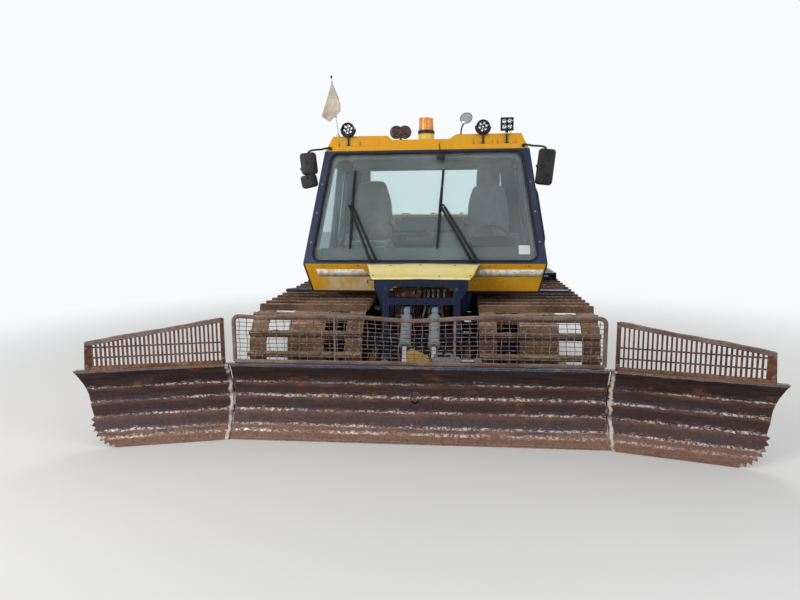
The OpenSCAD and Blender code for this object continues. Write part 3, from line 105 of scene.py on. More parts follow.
class Finish:
    """A material's node tree, built with short calls. Its coordinates are metres on the machine."""

    def __init__(self, name):
        self.material = bpy.data.materials.new(name)
        self.material.use_nodes = True
        self.tree = self.material.node_tree
        self.shader = self.tree.nodes["Principled BSDF"]
        self.place = self.node("ShaderNodeTexCoord").outputs["Object"]
        MATERIALS[name] = self.material

    def node(self, kind, **values):
        made = self.tree.nodes.new(kind)
        for key, value in values.items():
            setattr(made, key, value)
        return made

    def feed(self, socket, value):
        if isinstance(value, bpy.types.NodeSocket):
            self.tree.links.new(value, socket)
        elif isinstance(value, tuple) and len(value) == 3 and socket.type == "RGBA":
            socket.default_value = (*value, 1)
        else:
            socket.default_value = value

    def stretched(self, stretch):
        mapping = self.node("ShaderNodeMapping")
        self.feed(mapping.inputs["Vector"], self.place)
        mapping.inputs["Scale"].default_value = stretch
        return mapping.outputs["Vector"]

    def noise(self, scale, detail=4.0, rough=0.55, stretch=(1, 1, 1), warp=0.0):
        made = self.node("ShaderNodeTexNoise")
        self.feed(made.inputs["Vector"], self.stretched(stretch))
        made.inputs["Scale"].default_value = scale
        made.inputs["Detail"].default_value = detail
        made.inputs["Roughness"].default_value = rough
        made.inputs["Distortion"].default_value = warp
        return made.outputs["Fac"]

    def cells(self, scale, stretch=(1, 1, 1), feature="F1"):
        made = self.node("ShaderNodeTexVoronoi", feature=feature)
        self.feed(made.inputs["Vector"], self.stretched(stretch))
        made.inputs["Scale"].default_value = scale
        return made.outputs["Distance"]

    def band(self, value, low, high, to=(0.0, 1.0), smooth=True):
        made = self.node("ShaderNodeMapRange", interpolation_type="SMOOTHSTEP" if smooth else "LINEAR")
        self.feed(made.inputs["Value"], value)
        for socket, number in zip(("From Min", "From Max", "To Min", "To Max"), (low, high, *to)):
            made.inputs[socket].default_value = number
        return made.outputs["Result"]

    def math(self, operation, a, b=0.0, clamp=True):
        made = self.node("ShaderNodeMath", operation=operation, use_clamp=clamp)
        self.feed(made.inputs[0], a)
        self.feed(made.inputs[1], b)
        return made.outputs[0]

    def mix(self, share, a, b):
        made = self.node("ShaderNodeMix", data_type="RGBA")
        self.feed(made.inputs["Factor"], share)
        self.feed(made.inputs["A"], a)
        self.feed(made.inputs["B"], b)
        return made.outputs["Result"]

    def blend(self, share, a, b):
        made = self.node("ShaderNodeMix", data_type="FLOAT")
        self.feed(made.inputs["Factor"], share)
        self.feed(made.inputs["A"], a)
        self.feed(made.inputs["B"], b)
        return made.outputs["Result"]

    def axis(self, which):
        made = self.node("ShaderNodeSeparateXYZ")
        self.feed(made.inputs[0], self.place)
        return made.outputs[which]

    def edges(self, reach=0.006):
        """1 along edges and corners, 0 on flat faces."""
        rounded_off = self.node("ShaderNodeBevel", samples=4)
        rounded_off.inputs["Radius"].default_value = reach
        turned = self.node("ShaderNodeVectorMath", operation="DOT_PRODUCT")
        self.feed(turned.inputs[0], rounded_off.outputs["Normal"])
        self.feed(turned.inputs[1], self.node("ShaderNodeNewGeometry").outputs["Normal"])
        return self.band(turned.outputs["Value"], 0.985, 0.90)

    def near(self, value, place, reach, soft=0.5):
        """1 where value lies within reach of place, falling to 0 over the share soft of it."""
        off = self.math("ABSOLUTE", self.math("SUBTRACT", value, place, clamp=False), clamp=False)
        return self.band(off, reach, reach * (1 - soft))

    def facing_up(self, low=0.4, high=0.95):
        made = self.node("ShaderNodeSeparateXYZ")
        self.feed(made.inputs[0], self.node("ShaderNodeNewGeometry").outputs["Normal"])
        return self.band(made.outputs["Z"], low, high)

    def bump(self, height, strength=0.3, distance=0.002):
        made = self.node("ShaderNodeBump")
        made.inputs["Strength"].default_value = strength
        made.inputs["Distance"].default_value = distance
        self.feed(made.inputs["Height"], height)
        previous = self.shader.inputs["Normal"]
        if previous.is_linked:
            self.feed(made.inputs["Normal"], previous.links[0].from_socket)
        self.feed(previous, made.outputs["Normal"])

    def set(self, **values):
        names = {
            "colour": "Base Color", "metal": "Metallic", "rough": "Roughness", "coat": "Coat Weight",
            "coat_rough": "Coat Roughness", "through": "Transmission Weight", "ior": "IOR",
            "sheen": "Sheen Weight", "glow": "Emission Color", "glow_strength": "Emission Strength",
            "alpha": "Alpha", "gloss": "Specular IOR Level", "under": "Subsurface Weight",
        }
        for key, value in values.items():
            self.feed(self.shader.inputs[names[key]], value)
        return self.material


def painted(name, colour, faded, under, soil=(0.21, 0.165, 0.12), rough=0.42, wear=0.5, dirt=0.5, streak=0.35,
            fade=0.55, seed=0.0, bleached=None, gloss=0.5):
    """Old paint: sun-faded patches, rain streaks, chips down to under, and soil that settles low and on top.

    bleached is a function of the finish that gives the share of a spot faded most.
    """
    f = Finish(name)
    shift = (1 + seed * 0.07, 1 - seed * 0.05, 1 + seed * 0.03)
    patches = f.band(f.noise(1.1, 5, 0.6, shift), 0.40, 0.68)
    mottled = f.band(f.noise(14, 6, 0.65, shift), 0.35, 0.75)
    rain = f.band(f.noise(9, 4, 0.6, (1.6, 1.6, 0.09)), 0.46, 0.72)
    base = f.mix(f.math("MULTIPLY", patches, fade), colour, faded)
    base = f.mix(f.math("MULTIPLY", mottled, 0.14), base, tuple(0.72 * c for c in colour))
    if bleached:
        base = f.mix(bleached(f), base, tuple(0.25 * c + 0.55 * g for c, g in zip(colour, (1.0, 0.92, 0.62))))
    streaked = f.mix(f.math("MULTIPLY", rain, streak), base, tuple(0.5 * c + 0.5 * s for c, s in zip(colour, soil)))
    low = f.band(f.axis("Z"), 1.25, 0.25)
    dust = f.math("MULTIPLY", f.math("ADD", low, f.math("MULTIPLY", f.facing_up(), 0.55)),
                  f.band(f.noise(5, 6, 0.7), 0.25, 0.70))
    dust = f.math("MULTIPLY", dust, dirt)
    soiled = f.mix(dust, streaked, soil)
    chips = f.math("MULTIPLY", f.band(f.noise(60, 4, 0.6), 0.60, 0.66), f.band(f.noise(3.1, 3, 0.5), 0.48, 0.66))
    worn = f.math("MULTIPLY", f.edges(), f.band(f.noise(26, 5, 0.7), 0.40, 0.62))
    gone = f.math("MULTIPLY", f.math("MAXIMUM", chips, worn), wear)
    f.set(colour=f.mix(gone, soiled, under), gloss=gloss,
          rough=f.math("ADD", f.blend(dust, rough, 0.85), f.band(mottled, 0, 1, (-0.05, 0.10))))
    f.bump(f.noise(420, 2, 0.5), 0.05, 0.0004)
    f.bump(f.math("SUBTRACT", 1.0, gone), 0.35, 0.0006)
    return f.material


def rusted(name, dark, light, orange, rough=0.78, shine=0.0, seed=0.0, soil=(0.19, 0.15, 0.11), dusty=0.6):
    """Bare steel left outdoors: blotches of brown and orange scale, pits and bright worn ridges."""
    f = Finish(name)
    shift = (1 + seed * 0.06, 1 - seed * 0.04, 1 + seed * 0.05)
    large = f.band(f.noise(1.6, 6, 0.62, shift), 0.34, 0.66)
    fine = f.band(f.noise(38, 7, 0.7, shift), 0.30, 0.72)
    base = f.mix(large, dark, light)
    base = f.mix(f.math("MULTIPLY", fine, 0.55), base, tuple(0.45 * c for c in dark))
    flare = f.math("MULTIPLY", f.band(f.noise(5.5, 7, 0.72, shift), 0.55, 0.72), 0.7)
    base = f.mix(flare, base, orange)
    dust = f.math("MULTIPLY", f.facing_up(), f.band(f.noise(7, 5, 0.7), 0.30, 0.75))
    base = f.mix(f.math("MULTIPLY", dust, dusty), base, soil)
    bright = 0.0
    roughness = f.band(fine, 0, 1, (rough - 0.08, rough + 0.14))
    if shine:
        bright = f.math("MULTIPLY", f.math("MULTIPLY", f.edges(0.008), f.band(f.noise(30, 5, 0.7), 0.38, 0.60)), shine)
        base = f.mix(bright, base, (0.62, 0.55, 0.50))
        roughness = f.blend(bright, roughness, 0.34)
    f.set(colour=base, rough=roughness, gloss=0.20, metal=f.math("MULTIPLY", bright, 0.8) if shine else 0.0)
    f.bump(f.noise(170, 5, 0.7), 0.35, 0.0012)
    f.bump(f.band(f.noise(44, 4, 0.6), 0.45, 0.62), 0.25, 0.0015)
    return f.material


def scraped(name):
    """A blade's steel: brown and grey bands between its bends, darker upwards with painted shade where the face leans
    forward and down under the top, and at each bend a chipped bright line under old blue.
    """
    f = Finish(name)
    wave = f.band(f.noise(9, 5, 0.65, (1, 1, 2.5)), 0.3, 0.7, (-0.007, 0.007), smooth=False)
    height = f.math("ADD", f.axis("Z"), wave, clamp=False)
    fine = f.band(f.noise(45, 7, 0.7), 0.30, 0.72)
    drag = f.band(f.noise(7, 5, 0.6, (0.35, 1, 5)), 0.35, 0.68)
    # Rows: height from which the colour counts, width of the change, colour
    colour = (0.290, 0.160, 0.110)
    # Painted shade: the band colours grow darker upwards, partly the steel's own tone and partly shade where the face
    # leans forward and down, darkest just under the top lip.
    for start, soft, band in ((0.100, 0.014, (0.098, 0.060, 0.055)), (0.205, 0.020, (0.046, 0.026, 0.024)),
                              (0.318, 0.020, (0.052, 0.029, 0.026)), (0.380, 0.050, (0.028, 0.013, 0.010)),
                              (0.470, 0.040, (0.018, 0.008, 0.006)), (0.576, 0.006, (0.200, 0.155, 0.135))):
        colour = f.mix(f.band(height, start, start + soft), colour, band)
    colour = f.mix(f.math("MULTIPLY", drag, 0.40), colour, (0.088, 0.052, 0.042))
    colour = f.mix(f.math("MULTIPLY", fine, 0.50), colour, (0.022, 0.011, 0.009))
    flare = f.math("MULTIPLY", f.band(f.noise(6, 7, 0.72, (0.6, 1, 1.4)), 0.55, 0.74), 0.75)
    colour = f.mix(flare, colour, (0.22, 0.085, 0.034))
    line, glow, blue, chipped = 0.0, 0.0, 0.0, 0.0
    patchy = f.band(f.noise(1.6, 5, 0.6, (1, 1, 6)), 0.38, 0.58, (0.15, 1.0))
    speckled = f.band(f.noise(58, 4, 0.75, (0.8, 1, 1)), 0.46, 0.60)
    for bend, reach in zip(BEND_HEIGHTS, (0.012, 0.012, 0.012, 0.014, 0.010)):
        line = f.math("MAXIMUM", line, f.near(height, bend, reach, 0.6))
        glow = f.math("MAXIMUM", glow, f.near(height, bend - 0.012, 0.034, 0.9))
        blue = f.math("MAXIMUM", blue, f.near(height, bend + 0.024, 0.015, 0.7))
        chipped = f.math("MAXIMUM", chipped, f.near(height, bend + 0.004, 0.030, 0.9))
    glow = f.math("MULTIPLY", glow, f.band(f.noise(3.3, 5, 0.65, (1, 1, 5)), 0.36, 0.62, (0.12, 0.50)))
    colour = f.mix(glow, colour, (0.200, 0.105, 0.075))
    blue = f.math("MULTIPLY", blue, f.band(f.noise(1.5, 7, 0.75, (1, 1, 5)), 0.49, 0.60))
    colour = f.mix(f.math("MULTIPLY", blue, 0.80), colour, (0.037, 0.054, 0.088))
    across = f.math("ABSOLUTE", f.axis("X"), clamp=False)
    side = f.math("ADD", across, f.math("MULTIPLY", wave, 1.6, clamp=False), clamp=False)
    seam = f.math("MULTIPLY", f.near(side, 1.487, 0.016, 0.6), f.band(f.noise(5, 4, 0.6), 0.38, 0.55))
    lip = f.math("MULTIPLY", f.band(height, 0.566, 0.578), f.band(f.noise(2.2, 6, 0.7, (1, 1, 1)), 0.38, 0.50))
    lip = f.math("MULTIPLY", lip, f.band(across, 1.60, 1.30, (0.25, 0.85)))
    colour = f.mix(lip, colour, (0.026, 0.048, 0.100))
    bright = f.math("MULTIPLY", f.math("MULTIPLY", line, patchy), speckled)
    flecks = f.math("MULTIPLY", f.math("MULTIPLY", chipped, patchy), f.band(f.noise(40, 6, 0.8, (0.5, 1, 1.4)), 0.56, 0.63))
    bright = f.math("MAXIMUM", bright, f.math("MULTIPLY", flecks, 0.8))
    worn = f.math("MULTIPLY", f.math("MULTIPLY", f.edges(0.006), speckled), 0.55)
    bright = f.math("MAXIMUM", f.math("MAXIMUM", bright, worn), f.math("MULTIPLY", seam, 0.8))
    colour = f.mix(bright, colour, (0.80, 0.69, 0.62))
    dust = f.math("MULTIPLY", f.facing_up(0.7, 0.98), 0.8)
    colour = f.mix(dust, colour, (0.30, 0.25, 0.21))
    f.set(colour=colour, metal=f.math("MULTIPLY", bright, 0.5), gloss=0.18,
          rough=f.blend(bright, f.band(fine, 0, 1, (0.44, 0.70)), 0.35))
    f.bump(f.noise(170, 5, 0.7), 0.30, 0.0010)
    f.bump(f.noise(12, 4, 0.6, (0.4, 1, 3)), 0.25, 0.004)
    return f.material


def make_finishes(s):
    def bleached(f):
        spot = f.math("MULTIPLY", f.near(f.axis("X"), -0.66, 0.36, 0.5), f.near(f.axis("Z"), 1.115, 0.125, 0.4))
        spot = f.math("MULTIPLY", spot, f.band(f.axis("Y"), -1.10, -1.16))
        return f.math("MULTIPLY", spot, f.band(f.noise(9, 5, 0.65), 0.30, 0.55))

    painted("yellow_paint", tuple(s.yellow), (0.78, 0.43, 0.035), (0.23, 0.10, 0.05), wear=0.55, dirt=0.35, streak=0.28,
            bleached=bleached, gloss=0.3)
    painted("blue_paint", tuple(s.blue), (0.050, 0.080, 0.120), (0.17, 0.075, 0.045), wear=0.75, dirt=0.40, streak=0.25, seed=3,
            soil=(0.13, 0.115, 0.095), gloss=0.35)
    # The blue paint made darker, with darker and thinner soil: painted shade for the frame, axles, drums, portal, deck
    # and rear frame, which lie in shadow low on the machine.
    painted("frame_blue_painted_shade", (0.009, 0.019, 0.050), (0.016, 0.030, 0.062), (0.13, 0.060, 0.038), wear=0.7, dirt=0.22, streak=0.12, seed=13,
            soil=(0.060, 0.050, 0.040), gloss=0.18)
    painted("cream_paint", (0.97, 0.80, 0.29), (0.96, 0.85, 0.47), (0.25, 0.12, 0.06), wear=0.35, dirt=0.06, streak=0.26, seed=5)
    painted("ochre_paint", (0.70, 0.42, 0.03), (0.60, 0.42, 0.12), (0.15, 0.06, 0.03), wear=0.8, dirt=0.6, seed=7)
    painted("cylinder_paint", (0.19, 0.245, 0.30), (0.27, 0.31, 0.34), (0.17, 0.08, 0.05), wear=0.7, dirt=0.5, seed=9)
    painted("engine_grey", (0.12, 0.13, 0.14), (0.18, 0.18, 0.18), (0.13, 0.07, 0.04), rough=0.6, wear=0.5, dirt=0.8)
    painted("pole_white", (0.72, 0.70, 0.64), (0.62, 0.60, 0.55), (0.35, 0.30, 0.24), rough=0.35, wear=0.2, dirt=0.2)
    painted("stripe_white", (0.90, 0.91, 0.89), (0.80, 0.81, 0.78), (0.62, 0.42, 0.10), wear=0.85, dirt=0.10, streak=0.15, seed=4)
    rusted("rusty_steel", (0.044, 0.019, 0.013), (0.092, 0.042, 0.028), (0.22, 0.075, 0.026), shine=0.55)
    rusted("rail_steel", (0.110, 0.066, 0.052), (0.27, 0.205, 0.170), (0.22, 0.11, 0.055), shine=0.5, seed=6, soil=(0.40, 0.34, 0.28))
    scraped("blade_steel")
    rusted("track_steel", (0.078, 0.040, 0.024), (0.235, 0.138, 0.080), (0.26, 0.125, 0.055), rough=0.76, shine=0.7, seed=4,
           soil=(0.56, 0.390, 0.255), dusty=0.95)
    rusted("foot_rust", (0.130, 0.050, 0.022), (0.240, 0.105, 0.050), (0.42, 0.17, 0.06), shine=0.2, seed=12, soil=(0.34, 0.22, 0.14))
    rusted("grille_rust", (0.068, 0.028, 0.016), (0.150, 0.068, 0.040), (0.32, 0.125, 0.045), shine=0.5, seed=8,
           soil=(0.34, 0.24, 0.17))

    f = Finish("rubber")
    scuff = f.band(f.noise(30, 6, 0.7), 0.35, 0.7)
    f.set(colour=f.mix(f.math("MULTIPLY", scuff, 0.5), (0.018, 0.018, 0.018), (0.075, 0.066, 0.055)),
          rough=f.band(scuff, 0, 1, (0.62, 0.88)))
    f.bump(f.noise(220, 4, 0.6), 0.3, 0.0008)

    f = Finish("black_plastic")
    dust = f.math("MULTIPLY", f.band(f.noise(11, 5, 0.7), 0.35, 0.75), 0.35)
    f.set(colour=f.mix(dust, (0.010, 0.010, 0.011), (0.075, 0.068, 0.057)), rough=f.band(dust, 0, 0.35, (0.42, 0.7)), gloss=0.35)
    f.bump(f.cells(900), 0.12, 0.0003)

    f = Finish("dash_plastic")
    dust = f.math("MULTIPLY", f.facing_up(), f.band(f.noise(6, 5, 0.7), 0.3, 0.75))
    f.set(colour=f.mix(f.math("MULTIPLY", dust, 0.5), (0.055, 0.057, 0.060), (0.16, 0.15, 0.13)), rough=0.62)
    f.bump(f.cells(520), 0.25, 0.0005)

    f = Finish("lining")
    f.set(colour=f.mix(f.band(f.noise(8, 4), 0.35, 0.7), (0.10, 0.105, 0.11), (0.15, 0.15, 0.15)), rough=0.85)
    f.bump(f.noise(300, 3, 0.6), 0.25, 0.0008)

    f = Finish("glass")
    film = f.band(f.noise(2.2, 6, 0.7, (1, 1, 0.35)), 0.30, 0.75)
    f.set(colour=(0.80, 0.90, 0.90), rough=f.band(film, 0, 1, (0.015, 0.085)), through=f.band(film, 0, 1, (0.955, 0.915)),
          ior=1.05, gloss=0.5, coat=0.5, coat_rough=0.03)

    f = Finish("chrome")
    scratch = f.band(f.noise(60, 4, 0.6, (1, 0.2, 0.2)), 0.3, 0.8)
    f.set(colour=f.mix(scratch, (0.72, 0.72, 0.73), (0.55, 0.54, 0.53)), metal=1.0, rough=f.band(scratch, 0, 1, (0.10, 0.24)))

    f = Finish("bare_steel")
    grey = f.band(f.noise(18, 6, 0.7), 0.3, 0.7)
    f.set(colour=f.mix(grey, (0.42, 0.42, 0.42), (0.22, 0.20, 0.18)), metal=0.85, rough=f.band(grey, 0, 1, (0.35, 0.6)))
    f.bump(f.noise(150, 4, 0.6), 0.2, 0.0006)

    f = Finish("hose_sleeve")
    weave = f.math("MULTIPLY", f.cells(700, (1, 1, 0.5)), 1.0)
    f.set(colour=f.mix(f.band(f.noise(14, 5, 0.7), 0.35, 0.7), (0.36, 0.37, 0.36), (0.20, 0.19, 0.17)), rough=0.72)
    f.bump(weave, 0.4, 0.0008)

    f = Finish("hose_rubber")
    f.set(colour=f.mix(f.band(f.noise(14, 5, 0.7), 0.35, 0.7), (0.018, 0.018, 0.018), (0.07, 0.06, 0.05)), rough=0.6)
    f.bump(f.cells(600, (1, 1, 0.5)), 0.3, 0.0006)

    f = Finish("seat_fabric")
    thread = f.math("MULTIPLY", f.cells(650, (1, 1, 1)), 1.0)
    f.set(colour=f.mix(f.band(f.noise(7, 6, 0.7), 0.35, 0.7), (0.085, 0.088, 0.095), (0.15, 0.15, 0.15)), rough=0.92, sheen=0.35)
    f.bump(thread, 0.55, 0.0014)

    f = Finish("flag_cloth")
    weave = f.cells(1100)
    plain = f.mix(f.band(f.noise(9, 5, 0.6), 0.35, 0.7), (0.70, 0.64, 0.54), (0.48, 0.42, 0.34))
    middle = f.math("MULTIPLY", f.near(f.axis("Z"), 2.900, 0.130, 0.8), f.band(f.noise(11, 4, 0.6), 0.38, 0.60))
    f.set(colour=f.mix(f.math("MULTIPLY", middle, 0.7), plain, (0.55, 0.36, 0.17)), rough=0.85, alpha=0.88, sheen=0.2)
    f.bump(weave, 0.3, 0.0006)

    for name, colour, rough in (("amber_lens", (0.90, 0.30, 0.01), 0.22), ("red_lens", (0.42, 0.012, 0.008), 0.2)):
        f = Finish(name)
        f.set(colour=f.mix(f.band(f.noise(16, 5, 0.7), 0.35, 0.75), colour, tuple(0.72 * c for c in colour)), rough=rough,
              coat=0.6, coat_rough=0.1, under=0.15)

    for name, colour, rough, gloss in (("rubber_seam", (0.012, 0.012, 0.013), 0.66, 0.3), ("wiper_black", (0.006, 0.006, 0.007), 0.5, 0.3), ("frit", (0.040, 0.046, 0.055), 0.32, 0.5),
                                       ("seat_piping", (0.040, 0.041, 0.044), 0.8, 0.3), ("label_white", (0.66, 0.68, 0.68), 0.5, 0.4),
                                       ("flag_edge", (0.70, 0.64, 0.52), 0.8, 0.3)):
        f = Finish(name)
        dust = f.band(f.noise(13, 5, 0.7), 0.40, 0.80)
        f.set(colour=f.mix(f.math("MULTIPLY", dust, 0.35), colour, tuple(0.6 * c + 0.05 for c in colour)), rough=rough, gloss=gloss)

    f = Finish("mirror_glass")
    f.set(colour=(0.055, 0.060, 0.065), rough=0.06, gloss=0.9, coat=1.0, coat_rough=0.03)

    painted("beacon_yellow", (0.85, 0.55, 0.03), (0.80, 0.60, 0.20), (0.23, 0.10, 0.05), wear=0.2, dirt=0.25, seed=11)

    f = Finish("lamp_glass")
    f.set(colour=(0.95, 0.96, 0.97), rough=0.04, through=1.0, ior=1.2)

    f = Finish("reflector")
    f.set(colour=f.mix(f.band(f.noise(30, 3), 0.4, 0.6), (0.80, 0.80, 0.80), (0.62, 0.62, 0.62)), metal=1.0, rough=0.16)


CAD_FINISH = {
    "yellow_paint": ["cab_body", "cab_roof", "engine_house", "engine_lid", "fuel_tank", "wheel_rims"],
    "blue_paint": ["cab_frame", "door_left", "door_right"],
    # These parts take a darker copy of the blue paint, with painted shade.
    "frame_blue_painted_shade": ["chassis", "axles", "drive_drums", "nose_portal", "rear_deck", "rear_frame"],
    "cream_paint": ["hood_flap"],
    "ochre_paint": ["blade_carrier"],
    "cylinder_paint": ["lift_barrels", "angle_barrel", "tilt_barrel", "wing_barrel_left", "wing_barrel_right",
                       "rear_barrels"],
    "chrome": ["lift_rods", "angle_rod", "tilt_rod", "wing_rod_left", "wing_rod_right", "rear_rods"],
    "rusty_steel": ["hydraulics", "horns", "exhaust_stack", "push_frame", "blade_grille"],
    "grille_rust": ["wing_grille_left", "wing_grille_right"],
    "blade_steel": ["blade", "wing_left", "wing_right"],
    "track_steel": ["track_left", "track_right"],
    "rubber": ["tyres"],
    "black_plastic": ["wipers", "mirrors", "roof_lamps"],
    "dash_plastic": ["dashboard"],
    "glass": ["cab_glass", "door_glass_left", "door_glass_right"],
    "hose_sleeve": ["hoses"],
    "seat_fabric": ["seats"],
    "flag_cloth": ["flag"],
    "amber_lens": ["beacon"],
    "red_lens": ["tail_lamps"],
    "pole_white": ["flag_pole"],
    "engine_grey": ["engine"],
}


def dress_nodes():
    """Gives every solid of the frame its finish."""
    for finish, names in CAD_FINISH.items():
        for name in names:
            slots = NODES[name].material_slots
            for place in slots:
                place.material = MATERIALS[finish]


# ---------------------------------------------------------------- shapes


def outline_ring(sides, radius, start=0.0):
    return [(radius * math.cos(start + math.tau * i / sides), radius * math.sin(start + math.tau * i / sides))
            for i in range(sides)]


def frame_along(direction, side=None):
    """Rotation whose Z runs along direction."""
    z = Vector(direction).normalized()
    x = Vector(side) if side is not None else (Vector((1, 0, 0)) if abs(z.x) < 0.9 else Vector((0, 1, 0)))
    x = (x - z * x.dot(z)).normalized()
    return Matrix((x, z.cross(x), z)).transposed().to_4x4()


def at(place, direction=(0, 0, 1), side=None):
    return Matrix.Translation(place) @ frame_along(direction, side)


class Shape:
    """Collects simple shapes in one mesh. move is a matrix that the following shapes are drawn through."""

    def __init__(self):
        self.mesh = bmesh.new()
        self.move = Matrix.Identity(4)

    def face(self, corners):
        try:
            return self.mesh.faces.new(corners)
        except ValueError:
            return None

    def points(self, places):
        return [self.mesh.verts.new(self.move @ Vector(p)) for p in places]

    def skin(self, rings, closed_ring=True, caps=(True, True), loop=False):
        """Joins rings of points, each a list of the same length."""
        rows = [self.points(ring) for ring in rings]
        pairs = list(zip(rows, rows[1:])) + ([(rows[-1], rows[0])] if loop else [])
        n = len(rows[0])
        for a, b in pairs:
            for i in range(n if closed_ring else n - 1):
                j = (i + 1) % n
                self.face((a[i], a[j], b[j], b[i]))
        if not loop and closed_ring:
            if caps[0]:
                self.face(list(reversed(rows[0])))
            if caps[1]:
                self.face(rows[-1])
        return rows

    def box(self, low, high, turn=None):
        c = (Vector(low) + Vector(high)) / 2
        h = (Vector(high) - Vector(low)) / 2
        m = turn or Matrix.Identity(4)
        ring = lambda z: [m @ Vector((x * h.x, y * h.y, z * h.z)) + c for x, y in ((-1, -1), (1, -1), (1, 1), (-1, 1))]
        self.skin([ring(-1), ring(1)])

    def prism(self, outline, place, depth):
        """Extrudes an x, y outline along the Z of the matrix place, from 0 to depth."""
        self.skin([[place @ Vector((x, y, z)) for x, y in outline] for z in (0, depth)])

    def cylinder(self, a, b, r, r2=None, sides=16, caps=(True, True)):
        a, b = Vector(a), Vector(b)
        m = at(a, b - a)
        r2 = r if r2 is None else r2
        self.skin([[m @ Vector((x, y, z)) for x, y in outline_ring(sides, q)]
                   for z, q in ((0, r), ((b - a).length, r2))], caps=caps)

    def lathe(self, profile, place, sides=24, caps=(True, True)):
        """Turns rows of radius and height about the Z of the matrix place."""
        self.skin([[place @ Vector((x, y, z)) for x, y in outline_ring(sides, max(r, 1e-4))] for r, z in profile], caps=caps)

    def tube(self, path, r, sides=8, loop=False, flat=1.0):
        path = [Vector(p) for p in path]
        n = len(path)
        rings, side = [], None
        for i, p in enumerate(path):
            a = path[(i - 1) % n] if loop or i else path[i]
            b = path[(i + 1) % n] if loop or i < n - 1 else path[i]
            d = (b - a).normalized()
            if side is None:
                side = Vector((0, 0, 1)) if abs(d.z) < 0.9 else Vector((1, 0, 0))
            side = (side - d * side.dot(d)).normalized()
            other = d.cross(side)
            radius = r[i] if isinstance(r, (list, tuple)) else r
            rings.append([p + radius * (math.cos(t) * side * flat + math.sin(t) * other)
                          for t in (math.tau * k / sides for k in range(sides))])
        self.skin(rings, loop=loop)

    def bolt(self, place, direction, r=0.009, h=None):
        """Hexagon head on a washer."""
        h = h or 0.65 * r
        m = at(place, direction)
        self.lathe([(1.55 * r, 0), (1.55 * r, 0.18 * r)], m, 16)
        self.skin([[m @ Vector((x, y, z)) for x, y in outline_ring(6, q)] for z, q in ((0.18 * r, r), (h, r), (1.15 * h, 0.86 * r))])

    def rounded_box(self, low, high, r, steps=2):
        """Box with all edges rounded to radius r."""
        low, high = Vector(low), Vector(high)
        made = bmesh.new()
        bmesh.ops.create_cube(made, size=1)
        size, centre = high - low, (low + high) / 2
        for v in made.verts:
            v.co = Vector([c * s for c, s in zip(v.co, size)]) + centre
        bmesh.ops.bevel(made, geom=list(made.edges), offset=min(r, 0.49 * min(size)), segments=steps, affect="EDGES", profile=0.5)
        self.take(made)

    def take(self, other):
        """Adds another bmesh through the present move, and frees it."""
        new = {v: self.mesh.verts.new(self.move @ v.co) for v in other.verts}
        for f in other.faces:
            self.face([new[v] for v in f.verts])
        other.free()

    def done(self, name, finish, body, slot=None, smooth=32, bevel=0.0, replaces=(), solid=0.0, subdivide=0):
        bmesh.ops.recalc_face_normals(self.mesh, faces=self.mesh.faces)
        data = bpy.data.meshes.new(name)
        self.mesh.to_mesh(data)
        self.mesh.free()
        made = bpy.data.objects.new(name, data)
        bpy.context.scene.collection.objects.link(made)
        data.materials.append(MATERIALS[finish])
        for p in data.polygons:
            p.use_smooth = True
        if solid:
            m = made.modifiers.new("thickness", "SOLIDIFY")
            m.thickness = solid
            m.offset = 0
        if bevel:
            m = made.modifiers.new("edges", "BEVEL")
            m.width = bevel
            m.segments = 2
            m.limit_method = "ANGLE"
            m.angle_limit = math.radians(40)
        if subdivide:
            m = made.modifiers.new("smooth", "SUBSURF")
            m.levels = m.render_levels = subdivide
        else:
            data.set_sharp_from_angle(angle=math.radians(smooth))
        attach(made, body)
        if replaces:
            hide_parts(*replaces)
        return made


# ---------------------------------------------------------------- settings


class GroomerLook(bpy.types.PropertyGroup):
    """Colours and sizes that a user would change."""

    yellow: FloatVectorProperty(name="Body colour", description="Colour of the cab and engine house", subtype="COLOR",
                                default=(0.74, 0.345, 0.010), min=0, max=1)
    # The chassis, axles, drums, portal, deck and rear frame don't take this colour: they have a fixed darker blue, with
    # painted shade.
    blue: FloatVectorProperty(name="Frame colour", description="Colour of the frame and window frames", subtype="COLOR",
                              default=(0.016, 0.034, 0.080), min=0, max=1)
    floor: FloatVectorProperty(name="Floor colour", description="Colour of the floor", subtype="COLOR",
                               default=(0.80, 0.79, 0.77), min=0, max=1)
    eye_height: FloatProperty(name="Eye height", description="Height of the camera", unit="LENGTH", default=1.75)
    pitch: FloatProperty(name="Pitch", description="How far the camera looks down", subtype="ANGLE",
                         default=math.radians(8.0))


# ---------------------------------------------------------------- operators


